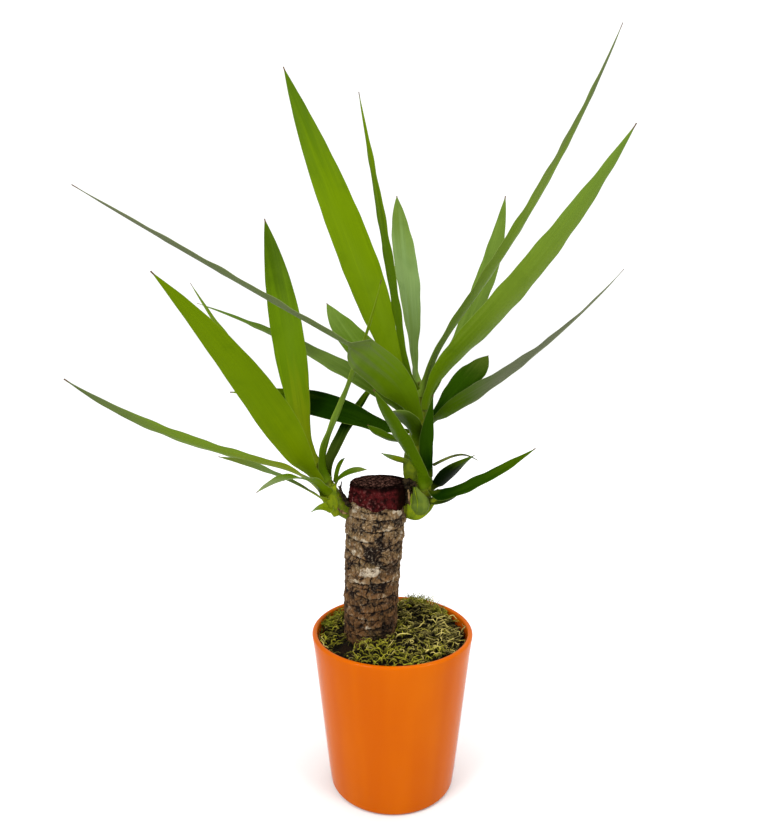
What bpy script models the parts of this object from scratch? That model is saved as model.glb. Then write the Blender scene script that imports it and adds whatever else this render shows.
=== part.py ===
"""A yucca in a round glazed pot: a sawn cane with a waxed top, two side shoots and their sword leaves.

The origin is the middle of the pot's flat underside, +Z is up, and the side with the low
front leaves faces -Y. Lengths are metres, except where a name or a comment says millimetres.
"""

import math
from typing import NamedTuple

import bmesh
import bpy
import numpy as np

# Driving dimensions
MM = 0.001
GAP = 0.0004
MERGE = 0.00001
SHARP_ANGLE = math.radians(40)

POT_RIM_RADIUS = 0.0662
POT_HEIGHT = 0.133
POT_FOOT_RADIUS = 0.0518
POT_WALL = 0.0043
POT_FLOOR = 0.007
POT_FOOT_ROUND = 0.0036
POT_INNER_FOOT_ROUND = 0.006
POT_SIDES = 60

SOIL_TOP = 0.119
MOSS_EDGE_HEIGHT = 0.1275
MOSS_TRUNK_HEIGHT = 0.1315
MOSS_MOUND_HEIGHT = 0.009
MOSS_MOUND_PLACE = (0.021, 0.038)
MOSS_MOUND_SPREAD = 0.017
MOSS_LUMP = 0.0011
MOSS_SIDES = 48
MOSS_TOP_CELLS = 7

TRUNK_FOOT = 0.042
TRUNK_TOP = 0.2555
TRUNK_MOSS_PLACE = (-0.0186, 0.003)
TRUNK_LEAN = 0.034
TRUNK_SWEEP = 0.004
TRUNK_SWEEP_START = 0.130
TRUNK_RINGS = 38
TRUNK_SIDES = 32
# Heights up the cane and its radius there, in millimetres
TRUNK_RADII = (
    (42, 20.6),
    (125, 21.6),
    (166, 22.3),
    (190, 22.9),
    (226, 24.2),
    (238, 22.8),
    (247, 21.9),
    (256, 21.7),
)
BARK_RING_PITCH = 0.0088
BARK_RING_DEPTH = 0.0010
BARK_CRACK_DEPTH = 0.0006
BARK_FROM = 0.131
BARK_TO = 0.236
BARK_FADE = 0.008

WAX_THICKNESS = 0.0013
WAX_EDGE_HEIGHT = 0.2400
WAX_EDGE_WAVE = 0.0028
WAX_SIDES = 30
WAX_RINGS = 9
WAX_SHOULDER_SHARE = 0.45
WAX_MIDDLE_SHARE = 0.02

LEAF_THICKNESS = 0.0009
LEAF_TIP_WIDTH = 0.0014
LEAF_CELLS_ACROSS = 4
LEAF_SWELL = 1.3
CHANNEL_CURVE = 1.6
PATH_STEPS = 120
CLASP_SHARE = 0.25
ROOT_SHARE = 0.12
CREASE_SHARE = 0.05


# The two side shoots: points along each stem and its radius there, in millimetres
SHOOTS = {
    "right": (
        (8, 3, 236, 7.0),
        (17, 4, 237.5, 8.6),
        (22.5, 4.5, 245, 9.2),
        (23.6, 5, 258, 8.8),
        (22, 5, 275, 8.8),
        (21, 5, 300, 7.8),
        (21.5, 5, 322, 5.8),
        (22, 5, 336, 3.2),
    ),
    "left": (
        (-28, 3, 228, 6.5),
        (-40, 2.5, 235, 7.2),
        (-48, 2, 244.5, 7.0),
        (-54, 2, 255, 6.3),
        (-57, 2, 264, 5.0),
        (-58, 2, 272, 3.0),
    ),
}
STEM_STEPS = 3
STEM_BEVEL_RESOLUTION = 2
SEAT_FROM = 0.205
SEAT_TO = 0.2625
SEAT_RINGS = 22
SEAT_WAX_MARGIN = 0.003
SEAT_WAX_CLEARANCE = WAX_THICKNESS + 2.5 * GAP


class Leaf(NamedTuple):
    """One blade. Lengths are millimetres and angles degrees.

    up is the distance along the shoot's stem and around the side of the stem that the root
    is on. The blade starts along heading and rise, which swerve and arch change evenly up
    to the tip. roll turns its face about its own length at the root, and twist adds to it
    up to the tip. clasp is how much more steeply it leaves the stem than its rise says,
    which fades over its first quarter. peak is where it is widest. bend is a crease: its
    place, and what it adds to heading, rise and roll.
    """

    name: str
    shoot: str
    up: float
    around: float
    length: float
    width: float
    heading: float
    swerve: float
    rise: float
    arch: float
    roll: float = 0.0
    twist: float = 0.0
    clasp: float = 0.0
    root: float = 9.0
    peak: float = 0.45
    point: float = 1.5
    channel: float = 0.22
    bend: tuple = ()
    stations: int = 15


LEAVES = (
    Leaf(
        "leaf_left_wide", "left", 42, 228, 208, 29, 223, -4, 60, -16, 45, 14, -11, peak=0.32,
        point=1.7,
    ),
    Leaf(
        "leaf_left_upright", "left", 52, 92, 222, 28, 131, -3, 80, -13, -68, 34, -60,
        root=5, peak=0.5, point=2,
    ),
    Leaf("leaf_left_low_long", "left", 34, 182, 215, 21, 176, 47, 8, 31, 16, 38, 48, peak=0.18),
    Leaf(
        "leaf_left_low_short", "left", 27, 210, 105, 10, 222, -5, 37, -18, -10, -20, peak=0.65,
        point=2,
    ),
    Leaf("leaf_left_bent", "left", 31, 250, 90, 19, 243, -9, 46, -64),
    Leaf(
        "leaf_left_bract", "left", 22, 225, 19, 9, 219, -6, 32, -61, -70, 56, -60, root=6,
        peak=0.2, point=1.1, stations=8,
    ),
    Leaf(
        "leaf_left_inner", "left", 41, 320, 172, 14, 346, -53, 67, -7, -6, 43, 60, peak=0.22,
        point=1.1,
    ),
    Leaf(
        "leaf_left_dark", "left", 42, 55, 124, 16, 44, 38, 63, -57, -13, 0, 24, root=7, peak=0.17,
        point=1.5,
    ),
    Leaf(
        "leaf_left_spur", "left", 34, 356, 27, 4, 62, 3, 98, -92, -3, 12, 8, root=4, peak=0.6,
        point=2.2, stations=8,
    ),
    Leaf(
        "leaf_left_hook", "left", 35, 325, 32, 6, 343, 20, 61, -68, 24, 24, 2, root=3.5,
        peak=0.63, point=2.2, stations=10,
    ),
    Leaf(
        "leaf_left_back", "left", 41, 170, 193, 24, 150, 35, 51, 10, -18, 10, 5,
        root=6, peak=0.38, point=1.4,
    ),
    Leaf(
        "leaf_right_widest", "right", 98, 150, 307, 33, 165, -40, 73, -16, -28, -18, -18,
        root=7, peak=0.34, point=1.8,
    ),
    Leaf(
        "leaf_right_upright", "right", 104, 225, 220, 16, 226, 3, 76, -1, -20, -8, -26,
        root=7, peak=0.48, point=1.7,
    ),
    Leaf(
        "leaf_right_grey", "right", 103, 85, 208, 29, 106, -14, 83, -44, 65, -60, -60, root=7,
        point=1.7,
    ),
    Leaf(
        "leaf_right_back", "right", 91, 50, 222, 23, 39, 29, 42, 22, -15, 10, 15,
        root=8, peak=0.48, point=1.9,
    ),
    Leaf(
        "leaf_right_tallest", "right", 100, 325, 308, 24, 349, 16, 50.5, 18.5, -8, -27, 38,
        root=13, peak=0.40, point=1.2,
    ),
    Leaf(
        "leaf_right_broad", "right", 90, 320, 248, 29, 329, -8, 39, 18, -18, -5, 47,
        root=8, peak=0.34, point=2,
    ),
    Leaf(
        "leaf_right_slim", "right", 75, 336, 190, 21, 327, -6, 25.4, 23.2, 50, -30, 23, root=11,
        peak=0.26, point=1.15,
    ),
    Leaf("leaf_right_spoon", "right", 79, 30, 136, 26, 51, 17, 30, -17, -16, 41, -20, peak=0.55),
    Leaf("leaf_right_low", "right", 24, 322, 112, 16, 309, 8, 22, 17, 30, 20, -45, peak=0.2, point=2.4),
    Leaf(
        "leaf_right_folded", "right", 24, 354, 49, 17, 322, 8, 53, -20, -34, 10, -8, root=6,
        peak=0.41, point=1.3, stations=10,
    ),
    Leaf(
        "leaf_right_creased", "right", 81, 245, 313, 28, 235, 2, 27, 2, 54, 42, 38,
        bend=(0.31, -54, 2, -64), root=10, peak=0.17, point=1.1, stations=26,
    ),
    Leaf(
        "leaf_right_front", "right", 27, 290, 123, 17, 235, 12, 48, -8, -20, 22, 15, peak=0.33,
        point=2.2,
    ),
    Leaf("leaf_right_stub", "right", 62, 265, 72, 16, 244, 9, 47, -38, -5, 18, 30, peak=0.42, point=2.4),
    Leaf(
        "leaf_right_arching", "right", 70, 183, 173, 25, 156, 1, 23, -25, -22, -52, -24,
        peak=0.47, point=1.1,
    ),
    Leaf(
        "leaf_right_pale", "right", 62, 200, 49, 9, 221, 5, 10, 27, 20, 15, 16,
        peak=0.65, point=2, stations=8,
    ),
    Leaf(
        "leaf_right_far", "right", 93, 108, 155, 31, 135, -16, 23, 14, -8, -10, 18,
        root=8, peak=0.4, point=2.4,
    ),
    Leaf(
        "leaf_right_stem_side", "right", 35, 306, 76, 14, 247, 47, 57, 14, 60, -60, 34, root=7,
        peak=0.43, point=1.3,
    ),
    Leaf("leaf_right_bract", "right", 47, 205, 35, 8, 222, 8, 19, 6, 28, root=7, stations=8),
    Leaf(
        "leaf_right_low_bract", "right", 20, 330, 31, 10, 308, 39, -8, 60, 33, -24, -60, root=7,
        peak=0.26, point=2.5, stations=8,
    ),
    Leaf(
        "leaf_right_hidden", "right", 79, 168, 222, 26, 152, 13, 30, -12, -16, 10, 16,
        peak=0.35, point=1.1,
    ),
)


def clear_scene():
    for obj in list(bpy.data.objects):
        bpy.data.objects.remove(obj, do_unlink=True)


def new_collection(name):
    made = bpy.data.collections.new(name)
    bpy.context.scene.collection.children.link(made)
    return made


def material(name, colour, roughness):
    made = bpy.data.materials.new(name)
    made.use_nodes = True
    shader = made.node_tree.nodes["Principled BSDF"]
    shader.inputs["Base Color"].default_value = (*colour, 1.0)
    shader.inputs["Roughness"].default_value = roughness
    made.diffuse_color = (*colour, 1.0)
    return made


def object_from(bm, name, collection, look=None):
    """Closes a bmesh into a named object, smooth except at sharp edges."""
    mesh = bpy.data.meshes.new(name)
    bm.to_mesh(mesh)
    bm.free()
    mesh.shade_smooth()
    mesh.set_sharp_from_angle(angle=SHARP_ANGLE)
    obj = bpy.data.objects.new(name, mesh)
    collection.objects.link(obj)
    if look:
        mesh.materials.append(look)
    return obj


def arc(centre, radius, start, end, steps):
    """Points of an arc in the profile plane, from one angle to another in degrees."""
    angles = [math.radians(start + (end - start) * i / steps) for i in range(steps + 1)]
    return [(centre[0] + radius * math.cos(a), centre[1] + radius * math.sin(a)) for a in angles]


def turned(name, profile, sides, collection, look=None):
    """A profile of (radius, height) points, turned about Z by a Screw modifier."""
    bm = bmesh.new()
    points = [bm.verts.new((r, 0.0, z)) for r, z in profile]
    for lower, upper in zip(points, points[1:]):
        bm.edges.new((lower, upper))
    obj = object_from(bm, name, collection, look)
    screw = obj.modifiers.new("turn", "SCREW")
    screw.axis = "Z"
    screw.angle = math.tau
    screw.steps = sides
    screw.render_steps = sides
    screw.use_merge_vertices = True
    screw.merge_threshold = MERGE
    screw.use_smooth_shade = True
    return obj


def pot_wall_inner(height):
    """The pot's inner radius at a height."""
    share = height / POT_HEIGHT
    return POT_FOOT_RADIUS + (POT_RIM_RADIUS - POT_FOOT_RADIUS) * share - POT_WALL


def build_pot(collection):
    lip = POT_WALL / 2
    lip_centre = (POT_RIM_RADIUS - lip, POT_HEIGHT - lip)
    inner_foot = pot_wall_inner(POT_FLOOR) - POT_INNER_FOOT_ROUND
    profile = [(0.0, POT_FLOOR)]
    profile += arc((inner_foot, POT_FLOOR + POT_INNER_FOOT_ROUND), POT_INNER_FOOT_ROUND, -90, 0, 3)
    profile += arc(lip_centre, lip, 180, 0, 6)
    foot_centre = (POT_FOOT_RADIUS - POT_FOOT_ROUND, POT_FOOT_ROUND)
    profile += arc(foot_centre, POT_FOOT_ROUND, 0, -90, 4)
    profile += [(0.0, 0.0)]
    look = material("glazed_orange", (0.72, 0.16, 0.004), 0.12)
    return turned("pot", profile, POT_SIDES, collection, look)


def trunk_axis(height):
    """The middle of the cane at a height: straight in the soil, leaning and then sweeping over."""
    x, y = TRUNK_MOSS_PLACE
    x += TRUNK_LEAN * (height - TRUNK_SWEEP_START)
    above = max(0.0, (height - TRUNK_SWEEP_START) / TRUNK_SWEEP_START)
    return x + TRUNK_SWEEP * above**3, y


def trunk_radius(height):
    heights, radii = zip(*TRUNK_RADII)
    return float(np.interp(height / MM, heights, radii)) * MM


def bark_relief(angle, height):
    """How far the bark stands out or in: worn leaf scars in rings, and cracks up the cane."""
    inside = np.interp(height, (BARK_FROM, BARK_FROM + BARK_FADE, BARK_TO - BARK_FADE, BARK_TO), (0, 1, 1, 0))
    wander = 0.22 * math.sin(angle + 1.3) + 0.16 * math.sin(2 * angle + 0.4) + 0.09 * math.sin(5 * angle)
    turn = math.tau * (height / BARK_RING_PITCH + wander)
    rings = BARK_RING_DEPTH * (abs(math.sin(turn / 2)) ** 0.6 - 0.62)
    cracks = BARK_CRACK_DEPTH * math.sin(7 * angle + 2.0 * math.sin(55 * height)) ** 3
    return inside * (rings + cracks)


def trunk_point(angle, height, extra=0.0):
    x, y = trunk_axis(height)
    radius = trunk_radius(height) + bark_relief(angle, height) + extra
    return x + radius * math.cos(angle), y + radius * math.sin(angle), height


def tube(name, place, sides, rings, collection, look=None):
    """A closed tube from place(share round, share up), with flat ends."""
    bm = bmesh.new()
    bmesh.ops.create_grid(bm, x_segments=sides, y_segments=rings, size=1.0)
    for vert in bm.verts:
        vert.co = place((vert.co.x + 1) / 2, (vert.co.y + 1) / 2)
    bmesh.ops.remove_doubles(bm, verts=bm.verts, dist=MERGE)
    bmesh.ops.triangulate(bm, faces=bm.faces)
    bmesh.ops.holes_fill(bm, edges=[edge for edge in bm.edges if edge.is_boundary], sides=0)
    bmesh.ops.recalc_face_normals(bm, faces=bm.faces)
    return object_from(bm, name, collection, look)


def build_trunk(collection):
    def place(around, up):
        return trunk_point(math.tau * around, TRUNK_FOOT + (TRUNK_TOP - TRUNK_FOOT) * up)

    look = material("bark", (0.19, 0.13, 0.075), 0.85)
    return tube("trunk", place, TRUNK_SIDES, TRUNK_RINGS, collection, look)


def wax_edge(angle):
    """The height of the wax's ragged lower edge."""
    ragged = 0.6 * math.sin(2 * angle + 0.6) + 0.35 * math.sin(5 * angle + 1.0) + 0.25 * math.sin(9 * angle)
    return WAX_EDGE_HEIGHT + WAX_EDGE_WAVE * ragged


def build_wax_cap(collection):
    """A thin skin over the cut top and down the cane's side, as an open sheet given thickness."""
    top = TRUNK_TOP + GAP + WAX_THICKNESS / 2
    clear = GAP + WAX_THICKNESS / 2
    shoulder = WAX_SHOULDER_SHARE

    def place(around, out):
        angle = math.tau * around
        if out <= shoulder:
            x, y = trunk_axis(top)
            radius = (trunk_radius(top) + clear) * max(WAX_MIDDLE_SHARE, out / shoulder)
            return x + radius * math.cos(angle), y + radius * math.sin(angle), top
        height = top - (top - wax_edge(angle)) * (out - shoulder) / (1 - shoulder)
        return trunk_point(angle, height, clear)

    bm = bmesh.new()
    bmesh.ops.create_grid(bm, x_segments=WAX_SIDES, y_segments=WAX_RINGS, size=1.0)
    for vert in bm.verts:
        vert.co = place((vert.co.x + 1) / 2, (vert.co.y + 1) / 2)
    bmesh.ops.remove_doubles(bm, verts=bm.verts, dist=MERGE)
    inner = [edge for edge in bm.edges if edge.is_boundary and edge.verts[0].co.z > top - GAP]
    bmesh.ops.holes_fill(bm, edges=inner, sides=0)
    bmesh.ops.triangulate(bm, faces=bm.faces)
    bmesh.ops.recalc_face_normals(bm, faces=bm.faces)
    obj = object_from(bm, "wax_cap", collection, material("wax", (0.05, 0.006, 0.008), 0.45))
    skin = obj.modifiers.new("skin", "SOLIDIFY")
    skin.thickness = WAX_THICKNESS
    skin.offset = 0.0
    return obj


def build_soil(collection, cutters):
    top_radius = pot_wall_inner(SOIL_TOP) - GAP
    inner_foot = pot_wall_inner(POT_FLOOR) - POT_INNER_FOOT_ROUND
    corner = arc((inner_foot, POT_FLOOR + POT_INNER_FOOT_ROUND), POT_INNER_FOOT_ROUND - GAP, 0, -90, 3)
    profile = [(0.0, SOIL_TOP), (top_radius, SOIL_TOP)] + corner + [(0.0, POT_FLOOR + GAP)]
    soil = turned("soil", profile, POT_SIDES, collection, material("soil", (0.035, 0.02, 0.012), 0.95))

    foot = TRUNK_FOOT - GAP

    def hole(around, up):
        return trunk_point(math.tau * around, foot + (BARK_FROM - foot) * up, GAP)

    cutter = tube("trunk_hole", hole, TRUNK_SIDES, 2, cutters)
    hide_cutter(cutter)
    cut = soil.modifiers.new("trunk hole", "BOOLEAN")
    cut.operation = "DIFFERENCE"
    cut.object = cutter
    return soil


def hide_cutter(obj):
    obj.hide_render = True
    obj.display_type = "WIRE"


def moss_height(x, y, share):
    """The height of the moss: low at the pot's wall, up to the cane, with a mound and lumps."""
    rise = MOSS_TRUNK_HEIGHT + (MOSS_EDGE_HEIGHT - MOSS_TRUNK_HEIGHT) * share
    away = math.hypot(x - MOSS_MOUND_PLACE[0], y - MOSS_MOUND_PLACE[1])
    mound = MOSS_MOUND_HEIGHT * math.exp(-((away / MOSS_MOUND_SPREAD) ** 2))
    lumps = MOSS_LUMP * (math.sin(310 * x + 1.0) * math.sin(270 * y) + 0.7 * math.sin(520 * y - 430 * x))
    return rise + mound + lumps


def build_moss(collection):
    """A ring of moss on the soil, round the cane: a closed section taken round the ring."""
    bottom = SOIL_TOP + GAP
    section_cells = MOSS_TOP_CELLS + 3

    def place(around, along):
        angle = math.tau * around
        cell = round(along * section_cells) % section_cells
        out = (0.0, 1.0, *[1 - i / MOSS_TOP_CELLS for i in range(MOSS_TOP_CELLS + 1)])[cell]
        near = trunk_point(angle, bottom, 2 * GAP)
        reach = pot_wall_inner(bottom) - GAP
        x = near[0] + (reach * math.cos(angle) - near[0]) * out
        y = near[1] + (reach * math.sin(angle) - near[1]) * out
        return x, y, bottom if cell < 2 else moss_height(x, y, out)

    bm = bmesh.new()
    bmesh.ops.create_grid(bm, x_segments=MOSS_SIDES, y_segments=section_cells, size=1.0)
    for vert in bm.verts:
        vert.co = place((vert.co.x + 1) / 2, (vert.co.y + 1) / 2)
    bmesh.ops.remove_doubles(bm, verts=bm.verts, dist=MERGE)
    bmesh.ops.triangulate(bm, faces=bm.faces)
    bmesh.ops.recalc_face_normals(bm, faces=bm.faces)
    return object_from(bm, "moss", collection, material("moss", (0.13, 0.16, 0.03), 0.95))


def stem_line(points):
    """A smooth line through a stem's points: places and radii in millimetres, and distances along it."""
    table = np.array(points, float)
    before, after = 2 * table[0] - table[1], 2 * table[-1] - table[-2]
    padded = np.vstack([before, table, after])
    rows = [table[0]]
    for a, b, c, d in zip(padded, padded[1:], padded[2:], padded[3:]):
        slope = (c - a) / 2
        curve = a - 2.5 * b + 2 * c - d / 2
        ease = 1.5 * (b - c) + (d - a) / 2
        for i in range(1, STEM_STEPS + 1):
            t = i / STEM_STEPS
            rows.append(b + t * (slope + t * (curve + t * ease)))
    line = np.array(rows)
    runs = np.linalg.norm(np.diff(line[:, :3], axis=0), axis=1)
    return line, np.concatenate([[0.0], np.cumsum(runs)])


def build_shoot(name, points, collection, cutters):
    """A shoot's stem: a tube along its smooth line, cut to sit on the cane's side and clear of the wax."""
    curve = bpy.data.curves.new(name, "CURVE")
    curve.dimensions = "3D"
    curve.bevel_depth = MM
    curve.bevel_resolution = STEM_BEVEL_RESOLUTION
    curve.use_fill_caps = True
    line, _ = stem_line(points)
    spline = curve.splines.new("POLY")
    spline.points.add(len(line) - 1)
    for knot, (x, y, z, radius) in zip(spline.points, line):
        knot.co = (x * MM, y * MM, z * MM, 1.0)
        knot.radius = radius
    guide = bpy.data.objects.new(f"{name}_guide", curve)
    bpy.context.scene.collection.objects.link(guide)
    bpy.context.view_layer.update()
    graph = bpy.context.evaluated_depsgraph_get()
    mesh = bpy.data.meshes.new_from_object(guide.evaluated_get(graph))
    bm = bmesh.new()
    bm.from_mesh(mesh)
    bmesh.ops.remove_doubles(bm, verts=bm.verts, dist=MERGE)
    bmesh.ops.recalc_face_normals(bm, faces=bm.faces)
    bpy.data.objects.remove(guide, do_unlink=True)
    stem = object_from(bm, name, collection, material(name, (0.2, 0.25, 0.03), 0.6))

    def around_cane(around, up):
        angle = math.tau * around
        height = SEAT_FROM + (SEAT_TO - SEAT_FROM) * up
        under_wax = height < wax_edge(angle) - SEAT_WAX_MARGIN
        return trunk_point(angle, height, GAP if under_wax else SEAT_WAX_CLEARANCE)

    cutter = tube(f"{name}_seat", around_cane, 2 * TRUNK_SIDES, SEAT_RINGS, cutters)
    hide_cutter(cutter)
    cut = stem.modifiers.new("seat on the cane", "BOOLEAN")
    cut.operation = "DIFFERENCE"
    cut.object = cutter
    return stem


def leaf_root(leaf):
    """The root's place, just off its stem's surface, and the direction round the stem there."""
    line, along = stem_line(SHOOTS[leaf.shoot])

    def at(distance):
        return np.array([np.interp(distance, along, column) for column in line.T])

    here = at(leaf.up)
    direction = at(leaf.up + 1)[:3] - at(leaf.up - 1)[:3]
    direction /= np.linalg.norm(direction)
    angle = math.radians(leaf.around)
    out = np.array([math.cos(angle), math.sin(angle), 0.0])
    out -= direction * out.dot(direction)
    out /= np.linalg.norm(out)
    reach = here[3] * MM + GAP + LEAF_THICKNESS / 2
    return here[:3] * MM + out * reach, np.cross(direction, out)


def leaf_width(leaf, share):
    """The blade's whole width at a share of its length."""
    if share < leaf.peak:
        grown = math.sin(math.pi / 2 * share / leaf.peak) ** LEAF_SWELL
        return (leaf.root + (leaf.width - leaf.root) * grown) * MM
    left = 1 - ((share - leaf.peak) / (1 - leaf.peak)) ** leaf.point
    return max(leaf.width * MM * left, LEAF_TIP_WIDTH)


def leaf_path(leaf):
    """For even shares of the length: places along the midrib, and the directions across and up there."""
    share = np.linspace(0.0, 1.0, PATH_STEPS + 1)
    heading = leaf.heading + leaf.swerve * share
    rise = leaf.rise + leaf.arch * share + leaf.clasp * np.clip(1 - share / CLASP_SHARE, 0, 1) ** 2
    roll = leaf.roll + leaf.twist * share
    if leaf.bend:
        spot, turn, tilt, spin = leaf.bend
        done = np.clip((share - spot) / CREASE_SHARE + 0.5, 0, 1)
        heading = heading + turn * done
        rise = rise + tilt * done
        roll = roll + spin * done
    h, e, r = np.radians(heading), np.radians(rise), np.radians(roll)[:, None]
    along = np.stack([np.cos(e) * np.cos(h), np.cos(e) * np.sin(h), np.sin(e)], axis=1)
    flat = np.stack([-np.sin(h), np.cos(h), np.zeros_like(h)], axis=1)
    across = flat * np.cos(r) + np.cross(along, flat) * np.sin(r)
    root, seat = leaf_root(leaf)
    free = np.clip(share / ROOT_SHARE, 0, 1)[:, None]
    across = seat * (1 - free) + across * free
    across -= along * np.sum(along * across, axis=1, keepdims=True)
    across /= np.linalg.norm(across, axis=1, keepdims=True)
    steps = np.vstack([np.zeros(3), along[:-1]]) * leaf.length * MM / PATH_STEPS
    return root + np.cumsum(steps, axis=0), across, np.cross(along, across)


def build_leaf(leaf, collection, look):
    """A blade: a grid laid along its path, widened, channelled, split into triangles and thickened."""
    places, across, up = leaf_path(leaf)
    bm = bmesh.new()
    bmesh.ops.create_grid(bm, x_segments=leaf.stations, y_segments=LEAF_CELLS_ACROSS, size=1.0)
    for vert in bm.verts:
        share, side = (vert.co.x + 1) / 2, vert.co.y
        i = round(share * PATH_STEPS)
        half = leaf_width(leaf, share) / 2
        vert.co = places[i] + half * (across[i] * side + up[i] * leaf.channel * abs(side) ** CHANNEL_CURVE)
    bmesh.ops.triangulate(bm, faces=bm.faces)
    obj = object_from(bm, leaf.name, collection, look)
    blade = obj.modifiers.new("thickness", "SOLIDIFY")
    blade.thickness = LEAF_THICKNESS
    blade.offset = 0.0
    return obj


def main():
    clear_scene()
    parts = new_collection("potted_yucca")
    cutters = new_collection("cutters")
    build_pot(parts)
    build_soil(parts, cutters)
    build_moss(parts)
    build_trunk(parts)
    build_wax_cap(parts)
    for side, points in SHOOTS.items():
        build_shoot(f"shoot_{side}", points, parts, cutters)
    look = material("leaf", (0.12, 0.23, 0.02), 0.45)
    for leaf in LEAVES:
        build_leaf(leaf, parts, look)


main()
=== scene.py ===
"""Looks of the potted yucca: finer leaves, bark, wax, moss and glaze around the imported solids.

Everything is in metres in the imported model's frame, except where a name or a comment says
millimetres. The leaves and the cane follow the same design values as the solids, with more
points. The origin is the middle of the pot's underside and the camera looks along +Y.
"""

import math
from typing import NamedTuple

import bpy
import numpy as np
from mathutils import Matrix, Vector, noise


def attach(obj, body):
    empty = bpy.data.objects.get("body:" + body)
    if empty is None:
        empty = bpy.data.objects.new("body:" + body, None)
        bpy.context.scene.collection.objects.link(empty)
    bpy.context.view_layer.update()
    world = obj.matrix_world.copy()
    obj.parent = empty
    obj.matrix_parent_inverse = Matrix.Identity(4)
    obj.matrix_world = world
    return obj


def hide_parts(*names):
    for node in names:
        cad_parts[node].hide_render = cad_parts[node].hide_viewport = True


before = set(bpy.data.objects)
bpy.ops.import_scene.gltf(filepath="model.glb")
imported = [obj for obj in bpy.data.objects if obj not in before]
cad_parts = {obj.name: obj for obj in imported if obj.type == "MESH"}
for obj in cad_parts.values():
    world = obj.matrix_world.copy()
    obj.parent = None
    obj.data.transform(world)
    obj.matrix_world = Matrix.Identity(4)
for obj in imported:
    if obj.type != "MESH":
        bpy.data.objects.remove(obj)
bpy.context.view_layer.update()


MM = 0.001
GAP = 0.0004
SEED = 11

# Camera: fitted to the ellipse of the pot's rim
CAMERA_PLACE = (-0.0102, -0.548, 0.393)
CAMERA_DOWN = 8.7
CAMERA_LENS = 30.14

# Light and floor
SKY_STRENGTH = 1.15
FLOOR_RADIUS = 14
FLOOR_SIDES = 96
FLOOR_DROP = 0.0002
# Soft lights: place, what each points at, size and power in watts
SOFTBOXES = {
    "softbox_left": ((-1.0, -1.05, 1.25), (0, 0, 0.25), (0.7, 0.9), 22),
    "softbox_right": ((1.1, -0.95, 1.2), (0, 0, 0.25), (0.6, 0.8), 13),
    "softbox_top": ((0.1, 0.1, 1.9), (0, 0, 0.2), (1.0, 1.0), 16),
}

# Pot
POT_RIM_RADIUS = 0.0662
POT_HEIGHT = 0.133
POT_FOOT_RADIUS = 0.0518
POT_WALL = 0.0043
POT_FLOOR = 0.007
POT_FOOT_ROUND = 0.0036
POT_INNER_FOOT_ROUND = 0.006
POT_SIDES = 192
POT_WALL_RINGS = 12
POT_MIDDLE = 0.002

# Moss
SOIL_TOP = 0.119
MOSS_EDGE_HEIGHT = 0.1275
MOSS_TRUNK_HEIGHT = 0.1315
MOSS_MOUND_HEIGHT = 0.009
MOSS_MOUND_PLACE = (0.021, 0.038)
MOSS_MOUND_SPREAD = 0.017
MOSS_LUMP = 0.0011
MOSS_BED_DROP = 0.0052
MOSS_BED_CANE_GAP = 0.0008
MOSS_BED_SIDES = 180
MOSS_BED_CELLS = 40
MOSS_REACH = 0.0600
STRAND_POINTS = 10
STRAND_LEAFLETS = 16
STRAND_FIELD = 0.0605
STRAND_GROUP_SPREAD = 0.7
STRAND_DEPTHS = (-0.0046, -0.0002)
STRAND_WALL_GAP = 0.0009
STRAND_CANE_GAP = 0.0016
STRAND_OVERHANG = 0.003
LEAFLET_HALF_WIDTH = 0.00028
LEAFLET_LENGTHS = (0.0007, 0.0015)
LEAFLET_TURN = 2.4
LEAFLET_FACES = ((0, 1, 2), (0, 3, 1), (1, 3, 2), (2, 3, 0))
# The bare patch of soil at the cane's left front
BARE_PLACE = (-0.038, -0.024)
BARE_REACH = (0.013, 0.010)
BARE_DROP = 0.003

# Cane
TRUNK_FOOT = 0.042
TRUNK_TOP = 0.2555
TRUNK_MOSS_PLACE = (-0.0186, 0.003)
TRUNK_LEAN = 0.034
TRUNK_SWEEP = 0.004
TRUNK_SWEEP_START = 0.130
# Heights up the cane and its radius there, in millimetres
TRUNK_RADII = (
    (42, 20.6), (125, 21.6), (166, 22.3), (190, 22.9), (226, 24.2), (238, 22.8), (247, 21.9), (256, 21.7),
)
TRUNK_SIDES = 270
BARK_MEAN_RADIUS = 23
BARK_SHOWS_FROM = 0.121
BARK_SHOWS_TO = 0.2415
BARK_STEP = 0.00052
# The heights between which the bark's relief sets in, inside the moss, and ends, at the wax's edge
BARK_STARTS = (0.118, 0.123)
BARK_ENDS = (0.2375, 0.2425)

WAX_THICKNESS = 0.0013
WAX_EDGE_HEIGHT = 0.2400
WAX_EDGE_WAVE = 0.0028
WAX_SHOULDER = 0.0009
WAX_THINNING = 0.0007
WAX_SIDES = 200
WAX_TOP_RINGS = 30
WAX_SIDE_RINGS = 26
WAX_INNER_RINGS = 6

# Leaves
PATH_STEPS = 120
CLASP_SHARE = 0.25
ROOT_SHARE = 0.12
CREASE_SHARE = 0.05
LEAF_SWELL = 1.3
LEAF_THICKNESS = 0.0009
LEAF_CHANNEL = 0.22
CHANNEL_CURVE = 1.6
LEAF_CELLS = 14
LEAF_TIP_WIDTH = 0.0011
LEAF_MIDDLE_THICKNESS = 0.0008
LEAF_EDGE_THICKNESS = 0.0003
LEAF_WAVE = 0.00035
# Radians of the margins' waves in a metre of blade
LONG_WAVES = 165
SHORT_WAVES = 290
# The half widths at which a blade has its full waves and its full thickness
LEAF_WAVES_FROM = 0.006
LEAF_THINS_FROM = 0.0012
LEAF_SHARP_ANGLE = math.radians(50)
SHEATH_LENGTH = 0.022
SHEATH_TURN = 1.05

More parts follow.
